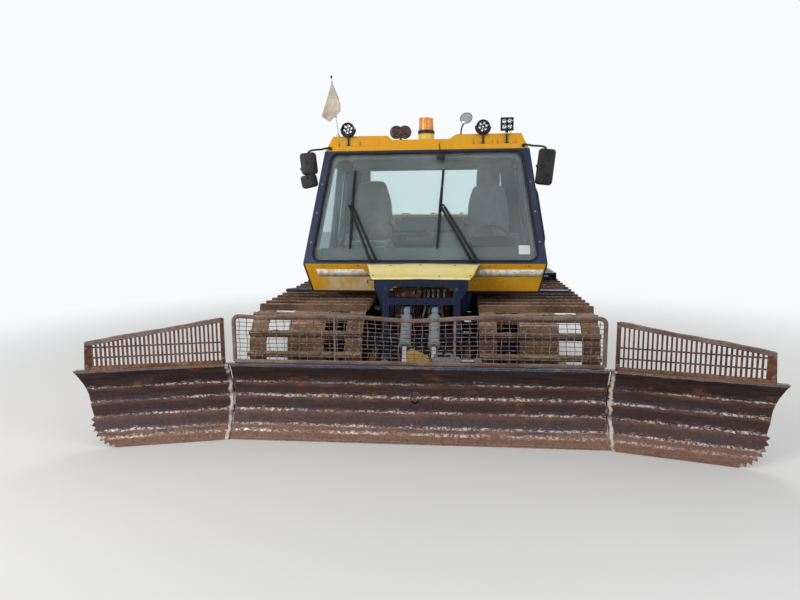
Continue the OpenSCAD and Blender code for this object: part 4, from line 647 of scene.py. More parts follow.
class GROOMER_OT_stage(bpy.types.Operator):
    """Floor, soft lamps and the camera"""

    bl_idname = "groomer.stage"
    bl_label = "Stage"

    def execute(self, context):
        s = context.scene.groomer
        camera = bpy.data.objects.new("camera", bpy.data.cameras.new("camera"))
        camera.data.sensor_width = 36
        camera.data.lens = 601 / 800 * 36
        yaw, roll = math.radians(5.7), math.radians(-0.4)
        camera.matrix_world = (Matrix.Translation((0.342, -6.970, s.eye_height)) @ Matrix.Rotation(yaw, 4, "Z")
                               @ Matrix.Rotation(math.pi / 2 - s.pitch, 4, "X") @ Matrix.Rotation(roll, 4, "Z"))
        context.scene.collection.objects.link(camera)
        context.scene.camera = camera
        context.scene.view_settings.view_transform = "Standard"

        ground = bmesh.new()
        bmesh.ops.create_grid(ground, x_segments=1, y_segments=1, size=60)
        mesh = bpy.data.meshes.new("floor")
        ground.to_mesh(mesh)
        ground.free()
        floor = bpy.data.objects.new("floor", mesh)
        floor.location.z = -0.001
        context.scene.collection.objects.link(floor)
        f = Finish("floor_paint")
        seen = f.node("ShaderNodeLightPath").outputs["Is Camera Ray"]
        reach = f.node("ShaderNodeVectorMath", operation="LENGTH")
        f.feed(reach.inputs[0], f.place)
        far = f.math("MULTIPLY", f.band(reach.outputs["Value"], 3.4, 8.5), seen)
        f.set(colour=f.mix(far, tuple(s.floor), (0.0, 0.0, 0.0)), rough=0.9, gloss=0.0, glow=(0.95, 0.97, 1.0),
              glow_strength=far)
        mesh.materials.append(f.material)

        world = bpy.data.worlds.new("studio")
        context.scene.world = world
        world.use_nodes = True
        tree = world.node_tree
        back = tree.nodes["Background"]
        path = tree.nodes.new("ShaderNodeLightPath")
        seen = tree.nodes.new("ShaderNodeMath")
        seen.operation = "MAXIMUM"
        tree.links.new(path.outputs["Is Camera Ray"], seen.inputs[0])
        tree.links.new(path.outputs["Is Transmission Ray"], seen.inputs[1])
        level = tree.nodes.new("ShaderNodeMapRange")
        tree.links.new(seen.outputs[0], level.inputs["Value"])
        level.inputs["To Min"].default_value = 0.56
        level.inputs["To Max"].default_value = 1.0
        tree.links.new(level.outputs["Result"], back.inputs["Strength"])
        back.inputs["Color"].default_value = (0.95, 0.97, 1, 1)
        # Rows: name, place, size, power in watts, warmth
        for name, place, size, power, colour in (
            ("key", (-6, -8.5, 4.2), 4, 430, (1, 0.98, 0.95)),
            ("fill", (8, -6, 4.5), 5, 190, (0.95, 0.97, 1)),
            ("back", (2, 9, 7), 6, 380, (1, 1, 1)),
        ):
            lamp = bpy.data.lights.new(name, "AREA")
            lamp.size = size
            lamp.energy = power
            lamp.color = colour
            made = bpy.data.objects.new(name, lamp)
            made.location = place
            made.rotation_euler = (Vector((0, 0, 0.8)) - Vector(place)).to_track_quat("-Z", "Y").to_euler()
            context.scene.collection.objects.link(made)
        return {"FINISHED"}


class GROOMER_OT_finishes(bpy.types.Operator):
    """Paints, rust, rubber, glass and cloth, and each solid's own finish"""

    bl_idname = "groomer.finishes"
    bl_label = "Finishes"

    def execute(self, context):
        make_finishes(context.scene.groomer)
        dress_nodes()
        return {"FINISHED"}


# ---------------------------------------------------------------- blade and grilles


def face_y(z):
    """Place of the blade's front face at a height."""
    for (s0, z0), (s1, z1) in zip(BLADE_FACE, BLADE_FACE[1:]):
        if z0 <= z - EDGE_Z <= z1:
            return EDGE_Y + s0 + (s1 - s0) * (z - EDGE_Z - z0) / (z1 - z0)
    return EDGE_Y + BLADE_FACE[-1][0]


def face_normal(z):
    a, b = face_y(z - 0.01), face_y(z + 0.01)
    return Vector((0, -0.02, b - a)).normalized()


def on_wing(side):
    """Matrix from a wing drawn straight out along +X to its real place on the side +1 or -1."""
    turned = (Matrix.Translation(WING_HINGE) @ Matrix.Rotation(-WING_TURN, 4, "Z") @ Matrix.Translation(-WING_HINGE))
    return Matrix.Diagonal((side, 1, 1, 1)) @ turned


def edge_bolts(shape, x0, x1, count):
    """Round-headed bolts that hold the cutting edge."""
    for i in range(count):
        x = x0 + (x1 - x0) * (i + 0.5) / count
        for z in (0.032, 0.088):
            normal = face_normal(z)
            shape.lathe([(0.0155, 0), (0.0135, 0.0035), (0.008, 0.006)], at((x, face_y(z), z), normal), 12)


def weld_bead(shape, path, r=0.005):
    """A weld along a path, with the small waves that a welder leaves."""
    points, n = [Vector(p) for p in path], len(path)
    fine = []
    for a, b in zip(points, points[1:]):
        steps = max(2, int((b - a).length / 0.012))
        fine += [a.lerp(b, k / steps) for k in range(steps)]
    fine.append(points[-1])
    shape.tube(fine, [r * (0.8 + 0.3 * (k % 2)) for k in range(len(fine))], 6)


class GROOMER_OT_blade(bpy.types.Operator):
    """Edge bolts, welds and the round face plate of the blade and its wings"""

    bl_idname = "groomer.blade"
    bl_label = "Blade"

    def execute(self, context):
        s = Shape()
        edge_bolts(s, -BLADE_X, BLADE_X, 22)
        m = at((0, -2.394, 0.330), (0, -1, 0))
        s.lathe([(0.050, 0), (0.050, 0.020), (0.046, 0.024), (0.034, 0.024), (0.031, 0.016), (0.014, 0.016), (0.012, 0.023)], m, 32)
        for x in (-BLADE_X + 0.004, BLADE_X - 0.004):
            weld_bead(s, [(x, face_y(z) + 0.002, z) for z in BEND_HEIGHTS], 0.004)
        s.done("blade_bolts", "blade_steel", "blade", "rusty_steel")
        for side, name in ((1, "left"), (-1, "right")):
            s = Shape()
            s.move = on_wing(side)
            edge_bolts(s, WING_U + 0.03, WING_U + WING_L - 0.42, 7)
            s.done(f"wing_bolts_{name}", "blade_steel", f"wing_{name}", "rusty_steel")
        return {"FINISHED"}


def dent(x):
    """How far the top rail of the middle grille sags at x, and how far the mesh follows it."""
    return 0.030 * math.exp(-((x + 0.02) / 0.34) ** 2) + 0.012 * math.exp(-((x + 1.25) / 0.18) ** 2)


class GROOMER_OT_grilles(bpy.types.Operator):
    """The dented pipe frame and woven wires of the middle grille, and the slats' hardware on the wings"""

    bl_idname = "groomer.grilles"
    bl_label = "Grilles"

    def execute(self, context):
        foot, top, half, r, corner = 0.618, 0.984, 1.423, 0.0165, 0.045
        s = Shape()
        path = [(-half, foot)] + [(-half, foot + (top - corner - foot) * k / 4) for k in range(1, 5)]
        path += [(-half + corner - corner * math.cos(a), top - corner + corner * math.sin(a))
                 for a in (math.pi / 2 * k / 6 for k in range(1, 7))]
        inner = 40
        path += [(x, top) for x in (-half + corner + (2 * half - 2 * corner) * k / inner for k in range(1, inner))]
        path += [(half - corner + corner * math.sin(a), top - corner + corner * math.cos(a))
                 for a in (math.pi / 2 * k / 6 for k in range(0, 7))]
        path += [(half, top - corner - (top - corner - foot) * k / 4) for k in range(1, 5)]
        s.tube([(x, GRILLE_Y, z - dent(x) * max(0, (z - foot) / (top - foot))) for x, z in path], r, 14)
        s.tube([(x, GRILLE_Y, foot) for x in (-half + 2 * half * k / 20 for k in range(21))], r, 14)
        for x in (-0.62, 0.31):
            s.cylinder((x, GRILLE_Y + 0.004, foot), (x, GRILLE_Y + 0.004, top - dent(x)), 0.008, sides=10)
        for x in [-half + 0.06 + (2 * half - 0.12) * k / 6 for k in range(7)]:
            s.box((x - 0.03, GRILLE_Y + 0.004, 0.5985), (x + 0.03, GRILLE_Y + 0.030, 0.606))
            s.bolt((x, GRILLE_Y + 0.024, 0.606), UP, 0.007)
        s.done("grille_frame", "rail_steel", "blade", "rusty_steel", replaces=("blade_grille",))

        s = Shape()
        columns, rows = 46, 9
        x0, x1, z0, z1 = -half + 0.012, half - 0.012, foot + 0.012, top - 0.012
        wire = 0.0028

        def height(x, share):
            return z0 + (z1 - dent(x) - z0) * share

        for i in range(columns + 1):
            x = x0 + (x1 - x0) * (i + 0.5) / (columns + 1)
            path = [(x + 0.004 * math.sin(5 * k + i), GRILLE_Y + (0.0022 if (i + k) % 2 else -0.0022), height(x, k / (rows + 1)))
                    for k in range(rows + 2)]
            s.tube(path, wire, 5)
        for k in range(1, rows + 1):
            path = []
            for i in range(columns + 1):
                x = x0 + (x1 - x0) * (i + 0.5) / (columns + 1)
                path.append((x, GRILLE_Y + (-0.0022 if (i + k) % 2 else 0.0022), height(x, k / (rows + 1))))
            path = [(x0, GRILLE_Y, path[0][2])] + path + [(x1, GRILLE_Y, path[-1][2])]
            s.tube(path, wire, 5)
        s.done("grille_wires", "rusty_steel", "blade")

        for side, name in ((1, "left"), (-1, "right")):
            s = Shape()
            s.move = on_wing(side)
            u0, u1 = WING_U + 0.075, WING_U + WING_L - 0.105
            for k in range(12):
                x = u0 + (u1 - u0) * (k + 0.5) / 12
                s.bolt((x, GRILLE_Y - 0.0085, 0.612), (0, -1, 0), 0.006)
            for x, z in ((u0, 0.935), (u1, 0.775), (u1, 0.640), (u0, 0.640)):
                s.bolt((x, GRILLE_Y - 0.0085, z), (0, -1, 0), 0.008)
            s.done(f"wing_grille_bolts_{name}", "rusty_steel", f"wing_{name}")

            s = Shape()
            s.move = on_wing(side)
            start, end, n = WING_U + 0.078, WING_U + WING_L - 0.098, 60
            high, low = 0.9643, 0.8143

            def top_z(x):
                return high + (low - high) * (x - WING_U - 0.060) / (WING_L - 0.154)
            spots = [start + (end - start) * k / n for k in range(n + 1)]
            bend = [0.0025 * math.sin(9 * x) + 0.0012 * math.sin(31 * x + side) for x in spots]
            s.skin([[(x, GRILLE_Y + y, top_z(x) + z + w) for y, z in ((-0.014, -0.026), (-0.014, 0.004), (0.020, 0.004), (0.020, -0.002),
                                                                      (-0.0085, -0.002), (-0.0085, -0.026))] for x, w in zip(spots, bend)])
            s.done(f"wing_grille_rail_{name}", "rail_steel", f"wing_{name}", "rusty_steel")

            s = Shape()
            s.move = on_wing(side)
            n = 150
            spots = [start + (end + 0.008 - start) * k / n for k in range(n + 1)]
            rough = [0.004 * math.sin(67 * x) + 0.003 * math.sin(151 * x + 1) + 0.002 * math.sin(333 * x) for x in spots]
            s.skin([[(x, GRILLE_Y + y, z) for y, z in ((-0.024 - 0.5 * w, 0.5972), (-0.022 - 0.5 * w, 0.612 + w), (-0.012, 0.624 + w), (-0.0085, 0.626 + w),
                                                       (-0.0085, 0.5972))] for x, w in zip(spots, rough)])
            s.done(f"wing_grille_foot_{name}", "foot_rust", f"wing_{name}", "rusty_steel")
        return {"FINISHED"}


# ---------------------------------------------------------------- cab


def on_shield(x, z, off=0.0):
    """Point on the windshield's plane, lifted off it."""
    return Vector((x, SILL_Y + RAKE * (z - SILL_Z), z)) + SHIELD_NORMAL * off


def on_apron(x, z, off=0.0):
    """Point on the sloping panel below the windshield, lifted off it."""
    return Vector((x, SILL_Y + (SILL_Z - z) * 0.140 / 0.270, z)) + APRON_NORMAL * off


def on_side(y, z, off=0.0, side=1):
    """Point on a side wall above the sill; side is +1 or -1."""
    return Vector((side * (1.140 - (z - SILL_Z) * 0.140 / 1.090 + off), y, z))


def on_back(x, z, off=0.0):
    return Vector((x, 0.360 - 0.030 * (z - 1.030) / 1.360 + off, z))


def rounded(points, r, steps=6):
    """Closed flat outline with its corners rounded to the radius r."""
    made, n = [], len(points)
    for i in range(n):
        a, b, c = (Vector((*points[(i + k - 1) % n], 0)) for k in range(3))
        u, v = (a - b).normalized(), (c - b).normalized()
        half = u.angle(v) / 2
        centre = b + (u + v).normalized() * (r / math.sin(half))
        start, end = b + u * (r / math.tan(half)), b + v * (r / math.tan(half))
        for k in range(steps + 1):
            p = centre + r * (start - centre).slerp(end - centre, k / steps).normalized()
            made.append((p.x, p.y))
    return made


SHIELD_HOLE = [(-1.072, 1.326), (1.072, 1.326), (0.934, 2.364), (-0.934, 2.364)]
BACK_HOLE = [(-0.850, 1.560), (0.850, 1.560), (0.820, 2.290), (-0.820, 2.290)]
DOOR_HOLE = [(-1.1057, 1.390), (-0.220, 1.390), (-0.220, 2.275), (-0.7534, 2.275)]
SIDE_HOLE = [(-0.060, 1.430), (0.240, 1.430), (0.220, 2.275), (-0.060, 2.275)]


def border(shape, outer, inner, place):
    """Flat band between two outlines of the same number of points."""
    shape.skin([[place(*p) for p in outer], [place(*p) for p in inner]], caps=(False, False))


class GROOMER_OT_cab(bpy.types.Operator):
    """Rubber seams round the glass, its dark border, the drip rails and the trim of the cab"""

    bl_idname = "groomer.cab"
    bl_label = "Cab"

    def execute(self, context):
        seams = Shape()
        # Rows: outline, corner radius, how it lies on the cab
        holes = [(SHIELD_HOLE, 0.075, on_shield), (BACK_HOLE, 0.090, on_back)]
        holes += [(SIDE_HOLE, 0.060, lambda y, z, off=0.0, s=s: on_side(y, z, off, s)) for s in (1, -1)]
        for outline, r, place in holes:
            seams.tube([place(*p, 0.001) for p in rounded(outline, r, 8)], 0.0105, 8, loop=True)
        for side in (1, -1):
            seams.tube([Vector((side * 1.1405, -1.3525, 1.300)), Vector((side * 1.1160, -1.2830, 1.166)),
                        Vector((side * 1.0905, -1.2125, 1.031))], 0.0075, 8)
            seams.tube([on_side(-0.150 + 0.500 * k / 8, 2.392, 0.004, side) for k in range(9)], 0.008, 8)
            seams.tube([on_side(-1.345 + 0.0005, 1.302, 0.003, side), on_side(-0.900, 2.388, 0.003, side)], 0.006, 8)
        seams.done("window_seams", "rubber_seam", ROOT, "rubber", bevel=0)

        frit = Shape()
        outer = rounded(SHIELD_HOLE, 0.075, 8)
        border(frit, outer, rounded([(-1.018, 1.372), (1.018, 1.372), (0.888, 2.312), (-0.888, 2.312)], 0.075, 8),
               lambda x, z: on_shield(x, z, -0.0275))
        frit.done("glass_border", "frit", ROOT, "black_plastic", solid=0.001)

        for side, name in ((1, "left"), (-1, "right")):
            s = Shape()
            s.tube([on_side(*p, 0.001, side) for p in rounded(DOOR_HOLE, 0.060, 8)], 0.0095, 8, loop=True)
            s.done(f"door_seam_{name}", "rubber_seam", f"door_{name}", "rubber")
            s = Shape()
            handle = [(-0.250, 1.330), (-0.252, 1.345), (-0.268, 1.352), (-0.330, 1.352), (-0.395, 1.349), (-0.408, 1.340)]
            lift = [0.004, 0.030, 0.042, 0.044, 0.042, 0.016]
            s.tube([on_side(y, z, off, side) for (y, z), off in zip(handle, lift)], [0.009, 0.010, 0.011, 0.0105, 0.010, 0.008], 10)
            s.lathe([(0.034, 0), (0.034, 0.006), (0.028, 0.010), (0.016, 0.012), (0.014, 0.020), (0.011, 0.021)],
                    at(on_side(-0.250, 1.330, 0.0, side), (side, 0, 0.128)), 24)
            s.lathe([(0.012, 0), (0.012, 0.004), (0.009, 0.006)], at(on_side(-0.250, 1.275, -0.001, side), (side, 0, 0)), 16)
            s.done(f"door_handle_{name}", "black_plastic", f"door_{name}", bevel=0)
            s = Shape()
            rail = [(-1.010, 1.46), (-1.006, 1.475), (-0.995, 1.52), (-0.905, 1.74), (-0.815, 1.96), (-0.800, 2.00), (-0.797, 2.015)]
            for p, off in ((rail[0], 0.0), (rail[-1], 0.0)):
                s.lathe([(0.022, 0), (0.022, 0.004), (0.016, 0.007)], at(on_side(*p, off, side), (side, 0, 0.128)), 18)
            s.tube([on_side(y, z, off, side) for (y, z), off in zip(rail, (0.0, 0.036, 0.046, 0.046, 0.046, 0.036, 0.0))], 0.011, 10)
            s.done(f"door_rail_{name}", "black_plastic", f"door_{name}")

        plate = Shape()
        # Rows: ends at the top and at the foot of the white stripes below the windshield
        for top, foot in (((-1.030, -0.560), (-1.010, -0.510)), ((0.520, 1.118), (0.490, 1.112))):
            rows = []
            for (x0, x1), z in ((foot, 1.172), (top, 1.246)):
                rows.append([on_apron(x0 + (x1 - x0) * k / 22, z, 0.0008) for k in range(23)])
            plate.skin(rows, closed_ring=False)
        plate.done("stripes", "stripe_white", ROOT, "yellow_paint", solid=0.0008)

        label = Shape()
        corners = rounded([(0.888, 1.392), (0.992, 1.392), (0.992, 1.474), (0.888, 1.474)], 0.006, 3)
        label.skin([[on_shield(x, z, off) for x, z in corners] for off in (-0.0184, -0.0178)])
        label.done("glass_label", "label_white", ROOT, "glass")

        s = Shape()
        for x in (-0.95, -0.62, 0.62, 0.98):
            s.bolt(on_apron(x, 1.277, 0.0), APRON_NORMAL, 0.006)
        for x in (-0.060, 0.010, 0.46, -0.52):
            s.bolt(Vector((x, EAVE_Y + 0.0046 + 0.062 * 0.045 / 0.150 - 0.006, EAVE_Z + 0.020)), (0, -0.92, 0.38), 0.005)
        for side in (1, -1):
            for y in (-1.18, -0.70, -0.20, 0.24):
                s.bolt((side * (1.112 + 0.0005), y, 1.150), (side, 0, -0.185), 0.007)
            for z in (1.50, 1.78, 2.06):
                s.lathe([(0.010, 0), (0.010, 0.004), (0.006, 0.007)], at(on_shield(side * (1.108 - (z - 1.3) * 0.1284), z, 0.0), SHIELD_NORMAL), 12)
        s.done("cab_bolts", "bare_steel", ROOT, "yellow_paint")
        return {"FINISHED"}


# Rows: place along the machine, height, half width, of the hood flap's middle line and edges
FLAP_ROWS = [(-1.3545, 1.2975, 0.530), (-1.385, 1.2930, 0.524), (-1.430, 1.2790, 0.508), (-1.480, 1.2580, 0.493),
             (-1.530, 1.2350, 0.480), (-1.575, 1.2170, 0.468), (-1.620, 1.2060, 0.455), (-1.660, 1.2030, 0.446),
             (-1.682, 1.2015, 0.441), (-1.6895, 1.1960, 0.439), (-1.6905, 1.1850, 0.437)]


class GROOMER_OT_flap(bpy.types.Operator):
    """The bowed hood flap with its bolts and the rusty tabs beside it"""

    bl_idname = "groomer.flap"
    bl_label = "Hood flap"

    def execute(self, context):
        s = Shape()
        n = 28
        rows = []
        for y, z, half in FLAP_ROWS:
            row = []
            for k in range(n + 1):
                t = 2 * k / n - 1
                wave = 0.0016 * math.sin(7 * t + 40 * y) * (1 - t * t)
                row.append((half * t, y, z + 0.0045 * (1 - t * t) + wave))
            rows.append(row)
        s.skin(rows, closed_ring=False)
        flap = s.done("hood_flap_sheet", "cream_paint", ROOT, replaces=("hood_flap",), solid=0.0032, smooth=60)
        flap.modifiers["thickness"].offset = 0
        s = Shape()
        for x, y, z in ((-0.300, -1.415, 1.2900), (0.300, -1.415, 1.2900), (-0.02, -1.413, 1.2930), (-0.44, -1.600, 1.2140),
                        (0.44, -1.600, 1.2140), (0.16, -1.640, 1.2110)):
            s.bolt((x, y, z), (0, -0.22, 1), 0.0065)
        s.done("flap_bolts", "bare_steel", ROOT, "cream_paint")
        s = Shape()
        for side in (1, -1):
            s.box((side * 0.435 - 0.050, -1.6795, 1.176), (side * 0.435 + 0.050, -1.655, 1.183))
            s.box((side * 0.478 - 0.006, -1.6795, 1.150), (side * 0.478 + 0.006, -1.655, 1.176))
            s.bolt((side * 0.452, -1.667, 1.183), UP, 0.006)
        s.done("flap_tabs", "rusty_steel", ROOT, bevel=0.0015)
        return {"FINISHED"}


# ---------------------------------------------------------------- roof and windshield fittings


def round_lamp(body, cells, glass, x, y, z):
    """A work lamp with seven cells behind its glass, facing the front."""
    m = at((x, y, z), (0, -1, 0), (1, 0, 0))
    body.lathe([(0.030, -0.046), (0.046, -0.044), (0.056, -0.030), (0.0655, -0.012), (0.0675, 0.012), (0.0675, 0.020),
                (0.0640, 0.0215), (0.0585, 0.0205), (0.0585, 0.006), (0.0, 0.006)], m, 40, caps=(True, False))
    for k in range(12):
        a = math.tau * k / 12
        fin = at((x + 0.046 * math.cos(a), y + 0.020, z + 0.046 * math.sin(a)), (math.cos(a), 0, math.sin(a)), (0, 1, 0))
        body.skin([[fin @ Vector((u, v, h)) for u, v in ((-0.018, -0.0022), (0.018, -0.0022), (0.018, 0.0022), (-0.018, 0.0022))]
                   for h in (-0.004, 0.016)])
    places = [(0.0, 0.0)] + [(0.034 * math.cos(a), 0.034 * math.sin(a)) for a in (math.tau * (k + 0.25) / 6 for k in range(6))]
    for u, v in places:
        c = m @ Matrix.Translation((u, v, 0.0065))
        cells.lathe([(0.0145, 0.010), (0.0130, 0.006), (0.0085, 0.001), (0.0035, 0.0002), (0.0030, 0.0035), (0.0005, 0.0045)], c, 18,
                    caps=(False, True))
    for k in range(6):
        a = math.tau * (k + 0.75) / 6
        rib = [(0.010 * math.cos(a), 0.010 * math.sin(a)), (0.056 * math.cos(a), 0.056 * math.sin(a))]
        body.tube([m @ Vector((*p, 0.013)) for p in rib], 0.0028, 6)
    glass.lathe([(0.0580, 0.0165), (0.040, 0.0185), (0.0, 0.0195)], m, 32, caps=(False, True))


def square_lamp(body, cells, glass, x, y, z):
    body.rounded_box((x - 0.062, y - 0.004, z - 0.062), (x + 0.062, y + 0.018, z + 0.062), 0.010)
    for x0, z0, x1, z1 in ((-0.062, -0.062, 0.062, -0.052), (-0.062, 0.052, 0.062, 0.062), (-0.062, -0.062, -0.052, 0.062),
                           (0.052, -0.062, 0.062, 0.062)):
        body.rounded_box((x + x0, y - 0.032, z + z0), (x + x1, y + 0.002, z + z1), 0.003)
    for u in (-0.026, 0.026):
        for v in (-0.026, 0.026):
            m = at((x + u, y - 0.006, z + v), (0, -1, 0), (1, 0, 0))
            cells.lathe([(0.0235, 0.020), (0.0220, 0.013), (0.014, 0.004), (0.005, 0.0005), (0.004, 0.006), (0.0005, 0.008)], m, 22,
                        caps=(False, True))
    for u in (-0.045, -0.027, -0.009, 0.009, 0.027, 0.045):
        body.box((x + u - 0.002, y + 0.017, z - 0.050), (x + u + 0.002, y + 0.0355, z + 0.050))
    glass.rounded_box((x - 0.0525, y - 0.0300, z - 0.0525), (x + 0.0525, y - 0.0275, z + 0.0525), 0.0008, 1)


class GROOMER_OT_lamps(bpy.types.Operator):
    """Work lamps, horns and beacon on the roof"""

    bl_idname = "groomer.lamps"
    bl_label = "Roof fittings"

    def execute(self, context):
        body, cells, glass = Shape(), Shape(), Shape()
        lamp_y, lamp_z, foot = -0.877, ROOF_Z + 0.056, EAVE_Z + 0.0505
        for x in (-0.773, 0.560):
            round_lamp(body, cells, glass, x, lamp_y - 0.010, lamp_z)
        square_lamp(body, cells, glass, 0.790, lamp_y, ROOF_Z + 0.076)
        for x, half in ((-0.773, 0.071), (0.560, 0.071), (0.790, 0.0)):
            body.lathe([(0.020, 0), (0.020, 0.005), (0.012, 0.009), (0.0095, 0.012), (0.0095, ROOF_Z - foot - 0.012)],
                       at((x, lamp_y, foot)), 18)
            if half:
                hoop = [(x + half * math.sin(a), lamp_y - 0.004, lamp_z - half * math.cos(a))
                        for a in (math.radians(d) for d in range(-100, 101, 12))]
                body.tube(hoop, 0.0042, 6, flat=2.2)
                for side in (1, -1):
                    body.bolt((x + side * 0.0715, lamp_y - 0.004, lamp_z + 0.010), (side, 0, 0), 0.0055)
            else:
                body.box((x - 0.014, lamp_y - 0.006, ROOF_Z - 0.004), (x + 0.014, lamp_y + 0.010, ROOF_Z + 0.016))
            body.tube([(x + 0.02, lamp_y + 0.026, lamp_z - 0.03), (x + 0.045, lamp_y + 0.030, lamp_z - 0.066),
                       (x + 0.050, lamp_y + 0.022, ROOF_Z - 0.025), (x + 0.042, lamp_y + 0.018, foot + 0.006)], 0.0035, 6)
        body.done("lamp_bodies", "black_plastic", ROOT, replaces=("roof_lamps",), bevel=0.0006)
        cells.done("lamp_cells", "reflector", ROOT, "black_plastic")
        glass.done("lamp_glasses", "lamp_glass", ROOT, "glass")

        s = Shape()
        for x in (-0.292, -0.208):
            m = at((x, -0.846, ROOF_Z + 0.024), (0, -1, 0), (1, 0, 0))
            s.lathe([(0.012, -0.029), (0.036, -0.028), (0.039, -0.010), (0.040, 0.0), (0.060, 0.001), (0.0655, 0.004),
                     (0.0655, 0.010), (0.0600, 0.0115), (0.052, 0.013), (0.047, 0.0105), (0.041, 0.0145), (0.034, 0.0175),
                     (0.028, 0.0155), (0.024, 0.020), (0.012, 0.024), (0.011, 0.0285), (0.004, 0.029)], m, 36)
            for k in range(8):
                a = math.tau * (k + 0.5) / 8
                s.bolt(m @ Vector((0.057 * math.cos(a), 0.057 * math.sin(a), 0.0105)), (0, -1, 0), 0.0032)
        s.box((-0.262, -0.852, ROOF_Z - 0.049), (-0.238, -0.846, ROOF_Z + 0.060))
        s.box((-0.290, -0.852, ROOF_Z + 0.012), (-0.210, -0.846, ROOF_Z + 0.034))
        s.box((-0.270, -0.856, ROOF_Z - 0.0497), (-0.230, -0.826, ROOF_Z - 0.045))
        s.done("horn_pair", "rusty_steel", ROOT, replaces=("horns",), bevel=0.0006)

        beacon = at((0, -0.770, ROOF_Z - 0.0497))
        s = Shape()
        s.lathe([(0.082, 0), (0.082, 0.006), (0.078, 0.010), (0.078, 0.052), (0.081, 0.056), (0.081, 0.060), (0.040, 0.060)], beacon, 40)
        s.done("beacon_base", "beacon_yellow", ROOT, "yellow_paint", bevel=0.0006)
        s = Shape()
        s.lathe([(0.079, 0.060), (0.0835, 0.063), (0.0835, 0.090), (0.0800, 0.094), (0.060, 0.094)], beacon, 40)
        s.done("beacon_band", "black_plastic", ROOT)
        s = Shape()
        rings, n = [], 96
        for r, z in ((0.0700, 0.094), (0.0725, 0.097), (0.0722, 0.104), (0.0705, 0.140), (0.0695, 0.190), (0.0690, 0.203)):
            rings.append([beacon @ Vector((q * math.cos(a), q * math.sin(a), z)) for q, a in
                          ((r + (0.0010 if k % 4 < 2 and 0.1 < z < 0.2 else -0.0006), math.tau * k / n) for k in range(n))])
        s.skin(rings, caps=(False, False))
        s.lathe([(0.0690, 0.203), (0.0735, 0.205), (0.0735, 0.212), (0.066, 0.217), (0.040, 0.2195), (0.0, 0.2198)], beacon, 40,
                caps=(False, False))
        s.done("beacon_dome", "amber_lens", ROOT, replaces=("beacon",))
        s = Shape()
        s.lathe([(0.030, 0.095), (0.030, 0.115), (0.016, 0.120), (0.016, 0.180), (0.002, 0.186)], beacon, 24)
        s.done("beacon_bulb", "reflector", ROOT, "amber_lens")
        return {"FINISHED"}


